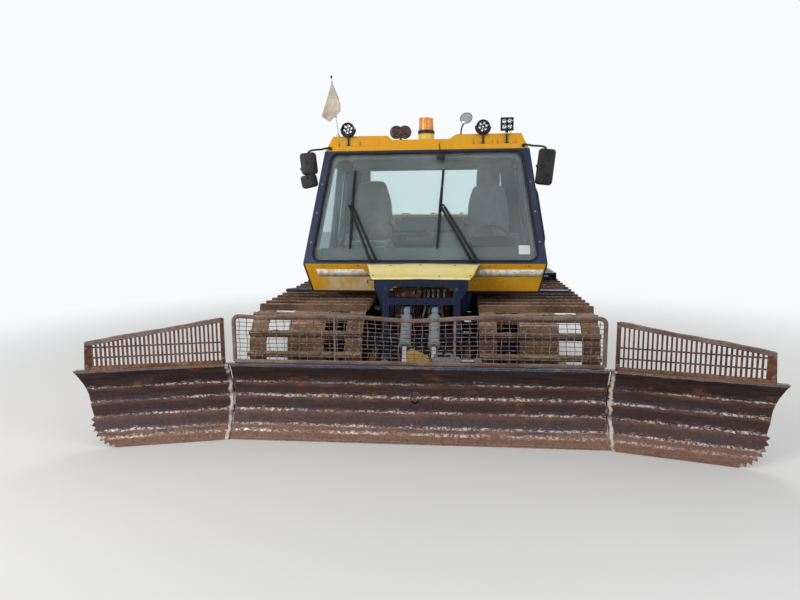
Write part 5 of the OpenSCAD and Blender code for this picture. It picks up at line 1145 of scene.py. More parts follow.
class GROOMER_OT_mirrors(bpy.types.Operator):
    """Side mirrors on their bent arms and the round mirror on the roof"""

    bl_idname = "groomer.mirrors"
    bl_label = "Mirrors"

    def execute(self, context):
        body, face = Shape(), Shape()
        head_z = EAVE_Z - 0.190
        for side in (1, -1):
            flip = Matrix.Diagonal((side, 1, 1, 1))
            for s in (body, face):
                s.move = flip
            foot = Vector((0.950, -0.9019, EAVE_Z + 0.024))
            body.lathe([(0.018, 0), (0.018, 0.004), (0.012, 0.011)], at(foot + Vector((0, -0.001, 0.0005)), (0, -0.924, 0.382)), 18)
            path = [foot, (0.956, -0.928, 2.424), (0.985, -0.950, 2.416), (1.030, -0.970, 2.404), (1.075, -0.990, 2.399),
                    (1.115, -1.005, 2.394), (1.143, -1.010, 2.383), (1.158, -1.010, 2.362), (1.163, -1.010, 2.325),
                    (1.164, -1.010, 2.250), (1.164, -1.010, 2.185)]
            body.tube(path, 0.0098, 10)
            # Rows: share of the outline, place along the machine, of the housing from its front to its rim
            rows = ((0.30, -0.0295), (0.72, -0.0285), (0.90, -0.0235), (0.985, -0.010), (1.0, 0.012), (1.0, 0.022), (0.975, 0.0245),
                    (0.945, 0.0220), (0.945, 0.0150))
            # Rows: how far a head lies above the middle, half its height, its lean in degrees
            for above, tall, lean in ([(0.0, 0.170, 6)] if side > 0 else [(0.064, 0.106, 6), (-0.107, 0.064, 12)]):
                turn = Matrix.Translation((1.150, -1.016, head_z + above)) @ Matrix.Rotation(math.radians(lean), 4, "Y")
                outline = rounded([(-0.080, -tall), (0.080, -tall), (0.080, tall), (-0.080, tall)], 0.032, 7)
                body.skin([[turn @ Vector((x * q, y, z * (1 - (1 - q) * 0.47))) for x, z in outline] for q, y in rows], caps=(True, False))
                face.skin([[turn @ Vector((x * q, y, z * q)) for x, z in outline] for q, y in ((0.950, 0.0165), (0.5, 0.0178))],
                          caps=(False, True))
            for z in (head_z + 0.070, head_z - 0.070):
                body.rounded_box((1.148, -1.052, z - 0.012), (1.180, -1.008, z + 0.012), 0.004)
                body.bolt((1.164, -1.052, z), (0, -1, 0), 0.0055)
            body.lathe([(0.003, -0.017), (0.012, -0.013), (0.0165, 0.0), (0.012, 0.013), (0.003, 0.017)],
                       at((1.075 if side > 0 else 1.222, -1.012, head_z + 0.010), (1, 0, 0)), 16)
            body.tube([(1.100, -1.025, head_z + 0.004), (1.150, -1.040, head_z - 0.020), (1.205, -1.028, head_z + 0.006)], 0.003, 6)
        body.move = Matrix.Identity(4)
        roof = ROOF_Z - 0.0062
        body.lathe([(0.020, 0.0005), (0.020, 0.006), (0.010, 0.012)], at((0.345, -0.800, roof)), 18)
        body.tube([(0.345, -0.800, roof + 0.008), (0.348, -0.803, 2.580), (0.352, -0.808, 2.606), (0.366, -0.817, 2.632),
                   (0.384, -0.829, 2.655), (0.396, -0.839, 2.675), (0.399, -0.846, 2.684)], 0.0075, 10)
        face.done("mirror_faces", "mirror_glass", ROOT, "glass", smooth=40)
        s = Shape()
        m = at((0.398, -0.852, 2.6855), Vector((-0.16, -0.92, 0.42)), (1, 0, 0.3))
        body.tube([m @ Vector((0.0585 * math.cos(a), 0.0585 * math.sin(a), 0.0125)) for a in (math.tau * k / 36 for k in range(36))],
                  0.0034, 8, loop=True)
        body.done("mirror_bodies", "black_plastic", ROOT, replaces=("mirrors",), smooth=40)
        s.lathe([(0.006, -0.012), (0.030, -0.008), (0.048, -0.001), (0.0575, 0.009), (0.0590, 0.013), (0.0560, 0.0145), (0.045, 0.0185),
                 (0.028, 0.0220), (0.0, 0.0235)], m, 36, caps=(True, False))
        s.done("round_mirror", "chrome", ROOT, "chrome")
        return {"FINISHED"}


# Rows: x of the pivots, x of the arm's head, x of the blade's foot, x of the blade's top
WIPERS = [(-0.470, -0.705, -0.700, -0.690), (0.475, 0.170, 0.130, 0.180)]


class GROOMER_OT_wipers(bpy.types.Operator):
    """Both wipers: twin arms, heads, bridges and rubber lips"""

    bl_idname = "groomer.wipers"
    bl_label = "Wipers"

    def execute(self, context):
        s = Shape()
        low, head, top, foot = SILL_Z + 0.024, SILL_Z + 0.530, EAVE_Z - 0.200, SILL_Z + 0.140
        for pivot, arm, blade_low, blade_high in WIPERS:
            for side in (-1, 1):
                x = pivot + side * 0.027
                s.lathe([(0.0165, 0.0004), (0.0165, 0.010), (0.011, 0.014), (0.011, 0.034), (0.0145, 0.036), (0.0145, 0.041),
                         (0.008, 0.044), (0.006, 0.048)], at(on_shield(x, low), SHIELD_NORMAL), 16)
                end = arm + side * 0.016
                def along(t, off):
                    return on_shield(x + (end - x) * t, low + (head - low) * t, off)
                s.tube([along(0, 0.038), along(0.06, 0.038), along(0.20, 0.0385)], [0.0190, 0.0170, 0.0150], 8, flat=0.8)
                s.tube([along(0.18, 0.0385), along(0.55, 0.040), along(0.97, 0.037)], 0.0138, 8)
            s.tube([on_shield(arm - 0.026, head - 0.004, 0.037), on_shield(arm, head + 0.006, 0.037), on_shield(arm + 0.026, head - 0.004, 0.037)],
                   [0.009, 0.012, 0.009], 8)
            s.cylinder(on_shield(arm, head, 0.038), on_shield(arm, head, 0.012), 0.008, sides=10)
            s.bolt(on_shield(arm - 0.016, head - 0.002, 0.044), SHIELD_NORMAL, 0.005)
            s.bolt(on_shield(arm + 0.016, head - 0.002, 0.044), SHIELD_NORMAL, 0.005)

            def on_blade(t, off):
                return on_shield(blade_low + (blade_high - blade_low) * t, foot + (top - foot) * t, off)
            mid = (head - foot) / (top - foot)
            s.tube([on_blade(t, off) for t, off in ((0.16, 0.010), (0.22, 0.016), (mid, 0.024), (0.80, 0.016), (0.86, 0.010))],
                   [0.0060, 0.0080, 0.0110, 0.0080, 0.0060], 8, flat=1.5)
            for start, end in ((0.04, 0.28), (0.72, 0.97)):
                centre = (start + end) / 2
                s.tube([on_blade(start, 0.006), on_blade(centre, 0.0155), on_blade(end, 0.006)], [0.0055, 0.0085, 0.0055], 8, flat=1.5)
            spine = [on_blade(k / 12, 0.0035) for k in range(13)]
            s.tube(spine, 0.0045, 8, flat=2.7)
            across = (on_shield(1, foot) - on_shield(0, foot)).normalized()
            lip = [on_blade(k / 12, 0.0) for k in range(13)]
            s.skin([[p + across * u + SHIELD_NORMAL * v for p in lip] for u, v in
                    ((0.0022, 0.003), (0.0008, -0.010), (-0.0008, -0.010), (-0.0022, 0.003))], closed_ring=False)
        s.done("wiper_pair", "wiper_black", ROOT, "black_plastic", replaces=("wipers",), smooth=45)
        s = Shape()
        for x, z in ((-0.692, 1.95), (-0.700, 1.63), (0.168, 2.02), (0.140, 1.62)):
            s.lathe([(0.005, 0), (0.005, 0.002), (0.003, 0.003)], at(on_shield(x, z, 0.0235 if z > 1.9 else 0.016), SHIELD_NORMAL), 10)
        s.done("wiper_rivets", "bare_steel", ROOT, "black_plastic")
        return {"FINISHED"}


# Rows: how far across and how far up from the pole's tip the flag's corners lie
FLAG_CORNERS = [(0.010, -0.062), (-0.100, -0.397), (-0.025, -0.449), (0.096, -0.348), (0.086, -0.271), (0.065, -0.198)]
FLAG_TIP = Vector((-0.944, -0.830, 3.136))


def polygon_reach(points, x, z):
    """Smallest distance from a point to the sides of a polygon, below 0 outside it."""
    inside, best, n = False, 9.0, len(points)
    for i in range(n):
        (x0, z0), (x1, z1) = points[i], points[(i + 1) % n]
        if (z0 > z) != (z1 > z) and x < (x1 - x0) * (z - z0) / (z1 - z0) + x0:
            inside = not inside
        a, b = Vector((x0, z0)), Vector((x1, z1))
        t = max(0, min(1, (Vector((x, z)) - a).dot(b - a) / (b - a).length_squared))
        best = min(best, (Vector((x, z)) - a.lerp(b, t)).length)
    return best if inside else -best


class GROOMER_OT_flag(bpy.types.Operator):
    """The sheer flag that hangs at the pole's tip, and its pole's fittings"""

    bl_idname = "groomer.flag"
    bl_label = "Flag"

    def execute(self, context):
        s = Shape()
        corners = [(FLAG_TIP.x + x, FLAG_TIP.z + z) for x, z in FLAG_CORNERS]
        apex = Vector(corners[0])
        rows, columns, steps = [], 30, 34
        rim = corners[1:]
        line = []
        for (x0, z0), (x1, z1) in zip(rim, rim[1:]):
            line += [(x0 + (x1 - x0) * k / 10, z0 + (z1 - z0) * k / 10) for k in range(10)]
        line.append(rim[-1])
        columns = len(line) - 1
        for k in range(steps + 1):
            t = 0.03 + 0.97 * k / steps
            row = []
            for i, (x, z) in enumerate(line):
                u = i / columns
                px, pz = apex.x + (x - apex.x) * t, apex.y + (z - apex.y) * t
                fold = 0.010 * t * math.sin(9.5 * u + 1.2 * math.sin(4 * t)) + 0.0035 * t * math.sin(23 * u + 5 * t)
                row.append((px, FLAG_TIP.y - 0.0195 + fold, pz))
            rows.append(row)
        s.skin(rows, closed_ring=False)
        cloth = s.done("flag_cloth_piece", "flag_cloth", ROOT, "flag_cloth", replaces=("flag",), smooth=180, solid=0.0012)
        s = Shape()
        for u0, r in ((0, 0.0022), (columns, 0.0022)):
            s.tube([Vector(row[u0]) for row in rows], r, 6)
        s.tube([Vector(p) for p in rows[-1]], 0.0026, 6)
        s.tube([Vector(rows[13][i]) for i in range(columns + 1)], 0.0034, 6)
        hem = s.done("flag_hem", "flag_edge", ROOT, "flag_cloth")
        s = Shape()
        for z in (3.070, 3.010, 2.905, 2.800, 2.735):
            x = FLAG_TIP.x + (FLAG_TIP.z - z) * 0.059 / 0.571
            s.lathe([(0.0085, -0.004), (0.0085, 0.004)], at((x, FLAG_TIP.y, z)), 12)
            s.tube([(x, FLAG_TIP.y - 0.007, z), (x + 0.002, FLAG_TIP.y - 0.014, z - 0.002)], 0.0022, 6)
        s.lathe([(0.007, -0.030), (0.009, -0.026), (0.009, -0.004), (0.004, 0.0)], at(FLAG_TIP, FLAG_TIP - Vector((-0.885, -0.830, 2.560))), 14)
        s.done("flag_clips", "black_plastic", ROOT)
        return {"FINISHED"}


# ---------------------------------------------------------------- inside the cab


def cushion(name, low, high, r, fill, sag=0.0, top=False):
    """A padded block whose cloth is blown up a little over its foam and set in a short simulation."""
    s = Shape()
    s.rounded_box(low, high, r, 3)
    made = s.done(name, "seat_fabric", ROOT, smooth=180)
    scene = bpy.context.scene
    remesh = made.modifiers.new("even", "REMESH")
    remesh.mode = "VOXEL"
    remesh.voxel_size = 0.016
    bpy.context.view_layer.objects.active = made
    bpy.ops.object.modifier_apply(modifier="even")
    start = [v.co.copy() for v in made.data.vertices]
    cloth = made.modifiers.new("cloth", "CLOTH")
    cloth.settings.quality = 4
    cloth.settings.mass = 0.3
    cloth.settings.tension_stiffness = cloth.settings.compression_stiffness = 12
    cloth.settings.use_pressure = True
    cloth.settings.uniform_pressure_force = 4.0
    cloth.settings.effector_weights.gravity = 0
    cloth.point_cache.frame_start, cloth.point_cache.frame_end = 1, 14
    for frame_number in range(1, 15):
        scene.frame_set(frame_number)
    bpy.ops.object.modifier_apply(modifier="cloth")
    scene.frame_set(1)
    limit = 0.011
    for v, p in zip(made.data.vertices, start):
        step = v.co - p
        if step.length > limit:
            v.co = p + step * (limit / step.length)
    made.modifiers.new("smooth", "SUBSURF").levels = 1
    made.modifiers["smooth"].render_levels = 1
    return made


def pad(name, rows):
    """A crowned pad. Rows: height, middle, half width, front face, rear face."""
    s, n = Shape(), 28
    rings = []
    for z, x, half, front, rear in rows:
        ring = []
        for k in range(n):
            c, d = math.cos(math.tau * k / n), math.sin(math.tau * k / n)
            u = math.copysign(abs(c) ** 0.45, c)
            v = math.copysign(abs(d) ** 0.70, d)
            ring.append((x + half * u, (front + rear) / 2 + (rear - front) / 2 * v, z))
        rings.append(ring)
    s.skin(rings)
    return s.done(name, "seat_fabric", ROOT, smooth=180, subdivide=1)


# Rows: name, middle of the seat, top of the back, headrest or not
SEATS = [("right", -0.640, 2.140, False), ("left", 0.650, 2.080, True)]


class GROOMER_OT_seats(bpy.types.Operator):
    """Both seats: blown-up cushions, seams, side bolsters, armrests, rails and bases"""

    bl_idname = "groomer.seats"
    bl_label = "Seats"

    def execute(self, context):
        y0, base_z, seat_z = -0.700, 1.330, 1.470
        hard = Shape()
        for name, x, top, headrest in SEATS:
            parts = [cushion(f"seat_{name}_cushion", (x - 0.248, y0 + 0.008, base_z + 0.008), (x + 0.248, -0.188, seat_z - 0.004), 0.045, 0.7)]
            for side in (1, -1):
                s = Shape()
                path = [(x + side * 0.222, y0 + 0.060, seat_z - 0.030), (x + side * 0.222, -0.600, seat_z - 0.006),
                        (x + side * 0.222, -0.420, seat_z - 0.004), (x + side * 0.222, -0.250, seat_z - 0.022)]
                s.tube(path, [0.018, 0.026, 0.027, 0.020], 12)
                parts.append(s.done(f"seat_{name}_side_{'a' if side > 0 else 'b'}", "seat_fabric", ROOT, smooth=180))
            # Rows: share of the back's height, half width, place of the front and of the rear face from its own middle
            rows = [(0.000, 0.150, -0.020, 0.020), (0.012, 0.205, -0.044, 0.036), (0.06, 0.222, -0.056, 0.042), (0.25, 0.228, -0.066, 0.044),
                    (0.50, 0.226, -0.054, 0.044), (0.66, 0.214, -0.046, 0.042), (0.78, 0.188, -0.042, 0.038), (0.88, 0.166, -0.038, 0.034),
                    (0.96, 0.152, -0.030, 0.028), (0.992, 0.120, -0.018, 0.018), (1.0, 0.070, -0.008, 0.008)]
            if headrest:
                rows = [(t, w + 0.014 * (t > 0.7), f, b) for t, w, f, b in rows]
            height = top - seat_z
            parts.append(pad(f"seat_{name}_back", [(seat_z + 0.004 + t * (height - 0.008), x, w, -0.228 + t * 0.100 + f, -0.228 + t * 0.100 + b)
                                                   for t, w, f, b in rows]))
            if headrest:
                z0 = top - 0.030
                rows = [(0.0, 0.100, -0.020), (0.006, 0.122, -0.034), (0.030, 0.130, -0.044), (0.120, 0.130, -0.046), (0.205, 0.122, -0.042),
                        (0.244, 0.100, -0.032), (0.256, 0.060, -0.014)]
                parts.append(pad(f"seat_{name}_headrest", [(z0 + t, x, w, -0.122 + f, -0.122 - f) for t, w, f in rows]))
                for side in (1, -1):
                    hard.cylinder((x + side * 0.055, -0.126, top - 0.030), (x + side * 0.055, -0.122, top + 0.010), 0.006, sides=10)
            seams = Shape()
            for u in (-0.120, 0.120):
                seams.tube([(x + u, -0.660 + 0.42 * k / 8, seat_z + 0.0005 - 0.004 * (k in (0, 8))) for k in range(9)], 0.0028, 6)
            seams.tube([(x - 0.240 + 0.48 * k / 10, y0 + 0.012, seat_z - 0.030) for k in range(11)], 0.0035, 6)
            seams.done(f"seat_{name}_seams", "seat_piping", ROOT, "seat_fabric")
            hard.box((x - 0.170, -0.600, 1.076), (x + 0.170, -0.260, 1.100))
            for k in range(7):
                grow = 0.010 * (k % 2)
                hard.box((x - 0.155 - grow, -0.585 - grow, 1.115 + 0.026 * k), (x + 0.155 + grow, -0.275 + grow, 1.141 + 0.026 * k))
            hard.box((x - 0.165, -0.595, 1.300), (x + 0.165, -0.265, 1.329))
            for side in (1, -1):
                hard.box((x + side * 0.150 - 0.012, -0.598, 1.098), (x + side * 0.150 + 0.012, -0.262, 1.118))
                arm = x + side * 0.243
                hard.tube([(arm, -0.245, 1.600), (arm, -0.300, 1.640), (arm, -0.330, 1.655)], 0.012, 8)
                hard.rounded_box((arm - 0.024, -0.590, 1.640), (arm + 0.024, -0.300, 1.672), 0.012)
            hard.tube([(x + 0.150, -0.640, 1.338), (x + 0.160, -0.690, 1.330), (x + 0.162, -0.698, 1.328)], 0.006, 8)
        hard.done("seat_fittings", "black_plastic", ROOT, "black_plastic", replaces=("seats",), bevel=0.002)
        return {"FINISHED"}


class GROOMER_OT_inside(bpy.types.Operator):
    """Steering wheel, gauges, levers, headliner, floor mat and the inner mirror"""

    bl_idname = "groomer.inside"
    bl_label = "Inside"

    def execute(self, context):
        s = Shape()
        wheel = Matrix.Translation((0.650, -0.877, 1.524)) @ Matrix.Rotation(math.radians(42), 4, "X")
        ring = [wheel @ Vector((0.180 * math.cos(a), 0.180 * math.sin(a), 0)) for a in (math.tau * k / 48 for k in range(48))]
        s.tube(ring, 0.0135, 12, loop=True)
        for turn in (90, 205, 335):
            a = math.radians(turn)
            s.tube([wheel @ Vector((q * math.cos(a), q * math.sin(a), z)) for q, z in ((0.030, -0.022), (0.075, -0.026), (0.130, -0.014), (0.176, 0.0))],
                   [0.014, 0.011, 0.010, 0.010], 8, flat=0.7)
        s.lathe([(0.030, -0.048), (0.034, -0.030), (0.042, -0.020), (0.044, -0.008), (0.036, 0.0), (0.0, 0.004)], wheel, 24, caps=(True, False))
        for side in (1, -1):
            s.tube([wheel @ Vector(p) for p in ((side * 0.02, -0.02, -0.055), (side * 0.09, -0.02, -0.058), (side * 0.135, -0.03, -0.050))],
                   [0.006, 0.005, 0.009], 8)
        s.done("steering_wheel", "black_plastic", ROOT)

        s = Shape()
        s.rounded_box((0.425, -1.150, 1.441), (0.875, -1.040, 1.500), 0.020)
        s.tube([(0.430 + 0.44 * k / 10, -1.052 - 0.030 * math.sin(math.pi * k / 10), 1.496 + 0.030 * math.sin(math.pi * k / 10)) for k in range(11)],
               0.016, 8, flat=1.6)
        s.rounded_box((-0.180, -1.110, 1.441), (0.120, -1.060, 1.545), 0.014)
        for x in (-0.82, -0.58, -0.32, 0.24):
            m = at((x, -1.130, 1.4405), (0, 0, 1))
            s.lathe([(0.044, 0), (0.044, 0.007), (0.036, 0.010), (0.030, 0.006)], m, 20)
            for k in range(5):
                s.box((x - 0.034, -1.130 - 0.026 + 0.013 * k - 0.002, 1.445), (x + 0.034, -1.130 - 0.026 + 0.013 * k + 0.002, 1.4525))
        s.rounded_box((-0.090, -0.880, 1.381), (0.090, -0.480, 1.410), 0.010)
        for x, y in ((-0.045, -0.80), (0.040, -0.80), (-0.045, -0.70), (0.040, -0.70)):
            s.lathe([(0.020, 0), (0.016, 0.012), (0.012, 0.020), (0.006, 0.024), (0.005, 0.075), (0.010, 0.080), (0.011, 0.096), (0.003, 0.100)],
                    at((x, y, 1.408), (0, -0.12, 1)), 14)
        s.tube([(0.0, -0.560, 1.408), (0.004, -0.566, 1.460), (0.006, -0.580, 1.500)], [0.017, 0.012, 0.012], 10)
        s.rounded_box((-0.020, -0.615, 1.495), (0.034, -0.552, 1.600), 0.020)
        for k in range(6):
            s.rounded_box((-0.070 + 0.024 * k, -0.500, 1.408), (-0.052 + 0.024 * k, -0.474, 1.414), 0.002, 1)
        for x in (0.560, 0.740):
            s.box((x - 0.040, -0.960, 1.110), (x + 0.040, -0.948, 1.220))
            s.tube([(x, -0.954, 1.115), (x, -0.965, 1.090), (x, -0.960, 1.080)], 0.010, 8)
        s.tube([(0.140, -1.003, 2.4396), (0.140, -1.000, 2.410), (0.150, -0.988, 2.360), (0.153, -0.978, 2.335)], 0.0055, 8)
        s.rounded_box((0.110, -0.990, 2.282), (0.196, -0.968, 2.342), 0.012)
        s.done("cab_controls", "black_plastic", ROOT, bevel=0.0015)

        s = Shape()
        for x, z in ((0.530, 1.4715), (0.650, 1.476), (0.770, 1.4715)):
            m = at((x, -1.0395, z), (0, 1, 0.35), (1, 0, 0))
            s.lathe([(0.036, -0.002), (0.036, 0.0015), (0.032, 0.0035), (0.029, 0.0015), (0.0, 0.0015)], m, 24, caps=(True, False))
        s.rounded_box((-0.160, -1.0602, 1.458), (0.100, -1.0575, 1.530), 0.001, 1)
        s.done("gauges", "mirror_glass", ROOT, "dash_plastic")

        s = Shape()
        s.rounded_box((-0.930, -0.815, 2.4215), (0.930, 0.262, 2.4395), 0.008)
        s.rounded_box((-0.935, 0.258, 2.297), (0.935, 0.2835, 2.4395), 0.004)
        for x in (-0.45, 0.0, 0.45):
            s.rounded_box((x - 0.008, -0.790, 2.4180), (x + 0.008, 0.235, 2.4225), 0.002, 1)
        s.rounded_box((-0.900, -0.868, 2.392), (0.900, -0.790, 2.4395), 0.012)
        s.rounded_box((-0.635, 0.3930, 1.060), (0.635, 0.3992, 1.730), 0.002, 1)
        for side in (1, -1):
            s.rounded_box((side * 0.60 - 0.17, -0.800, 2.404), (side * 0.60 + 0.17, -0.770, 2.4395), 0.008)
        s.rounded_box((-1.030, 0.200, 1.085), (1.030, 0.310, 1.545), 0.020)
        s.done("lining", "lining", ROOT, "dash_plastic")

        s = Shape()
        s.rounded_box((-1.040, -1.010, 1.0755), (1.040, 0.300, 1.0835), 0.003, 1)
        for x in [-1.00 + 0.05 * k for k in range(41)]:
            if abs(x) > 0.13:
                s.box((x - 0.006, -0.990, 1.0835), (x + 0.006, -0.700, 1.0875))
        s.done("floor_mat", "rubber_seam", ROOT, "rubber")
        return {"FINISHED"}


# ---------------------------------------------------------------- tracks and wheels

WHEEL_R = 0.325
BELT_T = 0.015
# Rows: place along the machine, height, radius of the circles that the belts run round
BELT_CIRCLES = [(-1.445, 0.523, 0.3253), (-0.767, 0.4023, 0.3253), (1.258, 0.4023, 0.3253), (1.970, 0.528, 0.3803)]
WHEELS = [(-1.445, 0.523), (-0.767, 0.4023), (-0.092, 0.4023), (0.583, 0.4023), (1.258, 0.4023)]
BAR_COUNT = 51


def belt_loop(grow):
    """The flat-sided loop of a belt as rows of y, z, the same as in the part's source."""
    made, n = [], len(BELT_CIRCLES)

    def facing(a, b):
        dy, dz = b[0] - a[0], b[1] - a[1]
        return math.degrees(math.atan2(dz, dy)) - math.degrees(math.acos((a[2] - b[2]) / math.hypot(dy, dz)))

    for i in range(n):
        c = BELT_CIRCLES[i]
        start = facing(BELT_CIRCLES[i - 1], c)
        sweep = (facing(c, BELT_CIRCLES[(i + 1) % n]) - start) % 360
        k = math.ceil(sweep / 30)
        r = (c[2] + grow) / math.cos(math.radians(sweep / k / 2))
        for j in range(k):
            a = math.radians(start + (j + 0.5) * sweep / k)
            made.append((c[0] + r * math.cos(a), c[1] + r * math.sin(a)))
    return made


def bar_places():
    """Matrix of each bar: Z points away from the belts, X across the machine."""
    loop = belt_loop(BELT_T)
    n = len(loop)
    lengths = [math.dist(loop[i], loop[(i + 1) % n]) for i in range(n)]
    total, places = sum(lengths), []
    for i in range(BAR_COUNT):
        s, k = (i + 0.5) * total / BAR_COUNT, 0
        while s > lengths[k]:
            s, k = s - lengths[k], k + 1
        a, b = Vector((0, *loop[k])), Vector((0, *loop[(k + 1) % n]))
        along = (b - a).normalized()
        out = Vector((0, along.z, -along.y))
        frame = Matrix((Vector((1, 0, 0)), out.cross(Vector((1, 0, 0))), out)).transposed().to_4x4()
        places.append((Matrix.Translation(a + along * s) @ frame, k))
    return places


class GROOMER_OT_tracks(bpy.types.Operator):
    """Caps, bolts, clamping plates, guide horns and belt ribs of the tracks"""

    bl_idname = "groomer.tracks"
    bl_label = "Tracks"

    def execute(self, context):
        places = bar_places()
        half, low = 0.515, belt_loop(0.0)
        for side, name in ((1, "left"), (-1, "right")):
            bars, horns, belts = Shape(), Shape(), Shape()
            for i, (m, flat) in enumerate(places):
                bars.move = Matrix.Translation((side * TRACK_X, 0, 0)) @ m
                for x in (-0.480, -0.400, -0.130, 0.130, 0.400, 0.480):
                    for y in (-0.047, 0.047):
                        bars.bolt((x, y * 0.82, 0.0002), (0, 0, 1), 0.0085)
                    bars.box((x - 0.026, -0.050, -0.0165 - 0.0035), (x + 0.026, 0.050, -0.0155))
                bars.box((-0.500, -0.0045, 0.0610), (0.500, 0.0045, 0.0660))
                for x in (-0.265, 0.265):
                    bars.box((x - 0.030, -0.014, 0.0605), (x + 0.030, 0.014, 0.0650))
                horns.move = bars.move
                for x in (-0.156, 0.156):
                    horns.skin([[(x + u * w, v * 1.7 * w, -BELT_T - h) for u, v in ((-1, -1), (1, -1), (1, 1), (-1, 1))]
                                for w, h in ((0.0156, 0.0), (0.0143, 0.020), (0.0090, 0.050), (0.0050, 0.054))])
            bars.move = Matrix.Identity(4)
            bars.done(f"track_hardware_{name}", "track_steel", ROOT)
            horns.done(f"track_horns_{name}", "track_steel", ROOT)
            n = len(low)
            for x0, x1 in ((-0.515, -0.365), (-0.165, 0.165), (0.365, 0.515)):
                for edge in (x0 + 0.004, x1 - 0.004):
                    belts.tube([(side * TRACK_X + edge, *p) for p in belt_loop(BELT_T * 0.5)], 0.0078, 6, loop=True)
            belts.done(f"belt_edges_{name}", "rubber", ROOT)
        return {"FINISHED"}


# Rows: radius, place along the axle, of half a tyre's section from its bead to its middle
TYRE_ROWS = [(0.2035, 0.070), (0.212, 0.084), (0.230, 0.0925), (0.262, 0.0945), (0.288, 0.0915), (0.305, 0.0850), (0.3165, 0.0740),
             (0.3225, 0.0560), (0.3240, 0.0480), (0.3185, 0.0465), (0.3180, 0.0400), (0.3240, 0.0385), (0.3243, 0.0110),
             (0.3188, 0.0095), (0.3188, 0.0)]


class GROOMER_OT_wheels(bpy.types.Operator):
    """Ribbed tyres, wheel nuts, hub caps and the drums' bolts"""

    bl_idname = "groomer.wheels"
    bl_label = "Wheels"

    def execute(self, context):
        tyres, steel, caps = Shape(), Shape(), Shape()
        section = TYRE_ROWS + [(r, -x) for r, x in reversed(TYRE_ROWS[:-1])]
        for side in (1, -1):
            for y, z in WHEELS:
                m = at((side * TRACK_X, y, z), (side, 0, 0), (0, 0, 1))
                tyres.lathe(section, m, 48, caps=(False, False))
                tyres.lathe([(0.2035, 0.070), (0.2035, -0.070)], m, 48, caps=(False, False))
                for ring_x in (0.0952, -0.0952):
                    tyres.lathe([(0.246, ring_x * 0.984), (0.248, ring_x), (0.252, ring_x), (0.254, ring_x * 0.984)], m, 48, caps=(False, False))
                for k in range(8):
                    a = math.tau * (k + 0.5) / 8
                    face = m @ Vector((0.088 * math.cos(a), 0.088 * math.sin(a), 0.0))
                    steel.bolt(face - Vector((side * 0.0055, 0, 0)), (side, 0, 0), 0.0105, 0.013)
                steel.lathe([(0.112, -0.0060), (0.112, -0.0005), (0.104, 0.0015), (0.066, 0.0015)], m, 32, caps=(False, False))
                caps.lathe([(0.0615, 0.0442), (0.0600, 0.050), (0.050, 0.0565), (0.046, 0.0640), (0.030, 0.0675), (0.0, 0.0685)], m, 28,
                           caps=(True, False))
                for k in range(6):
                    a = math.tau * k / 6
                    caps.bolt(m @ Vector((0.0535 * math.cos(a), 0.0535 * math.sin(a), 0.0535)), (side, 0, 0), 0.0042)
        tyres.done("tyre_rings", "rubber", ROOT, replaces=("tyres",), smooth=40)
        steel.done("wheel_nuts", "rusty_steel", ROOT)
        for side in (1, -1):
            m = at((side * TRACK_X, 1.970, 0.528), (side, 0, 0), (0, 0, 1))
            end = 0.285
            caps.lathe([(0.129, end), (0.127, end + 0.008), (0.098, end + 0.010), (0.095, end + 0.014), (0.040, end + 0.0155),
                        (0.0, end + 0.0155)], m, 36, caps=(True, False))
            for k in range(10):
                a = math.tau * k / 10
                caps.bolt(m @ Vector((0.112 * math.cos(a), 0.112 * math.sin(a), end + 0.008)), (side, 0, 0), 0.0085)
        caps.done("hub_caps", "blue_paint", ROOT)
        return {"FINISHED"}


# ---------------------------------------------------------------- hydraulics and the blade's linkage

# Columns: barrel radius, rod radius, eye radius, pin radius, eye width, length of the neck
LIFT_SIZE = (0.048, 0.026, 0.042, 0.020, 0.056, 0.060)
SMALL_SIZE = (0.034, 0.018, 0.032, 0.015, 0.044, 0.046)
WING_PIN = Vector((1.7618, -2.2683, 0.330))
# Rows: body, pin of the barrel, pin of the rod, pins' direction, size, barrel's length, side on which the ports lie
CYLINDERS = [
    ("lift_barrels", (0.125, -1.640, 0.900), (0.125, -2.060, 0.440), (1, 0, 0), LIFT_SIZE, 0.355, (0, 0.674, -0.739)),
    ("lift_barrels", (-0.125, -1.640, 0.900), (-0.125, -2.060, 0.440), (1, 0, 0), LIFT_SIZE, 0.355, (0, 0.674, -0.739)),
    ("angle_barrel", (-0.300, -1.870, 0.478), (-0.300, -2.236, 0.478), (0, 0, 1), SMALL_SIZE, 0.230, (-1, 0, 0)),
    ("tilt_barrel", (0.080, -2.256, 0.590), (0.490, -2.256, 0.590), (0, 1, 0), SMALL_SIZE, 0.250, (0, 0, 1)),
    ("rear_barrels", (0.250, 2.330, 0.900), (0.250, 2.620, 0.505), (1, 0, 0), LIFT_SIZE, 0.285, (0, -0.81, -0.59)),
    ("rear_barrels", (-0.250, 2.330, 0.900), (-0.250, 2.620, 0.505), (1, 0, 0), LIFT_SIZE, 0.285, (0, -0.81, -0.59)),
]


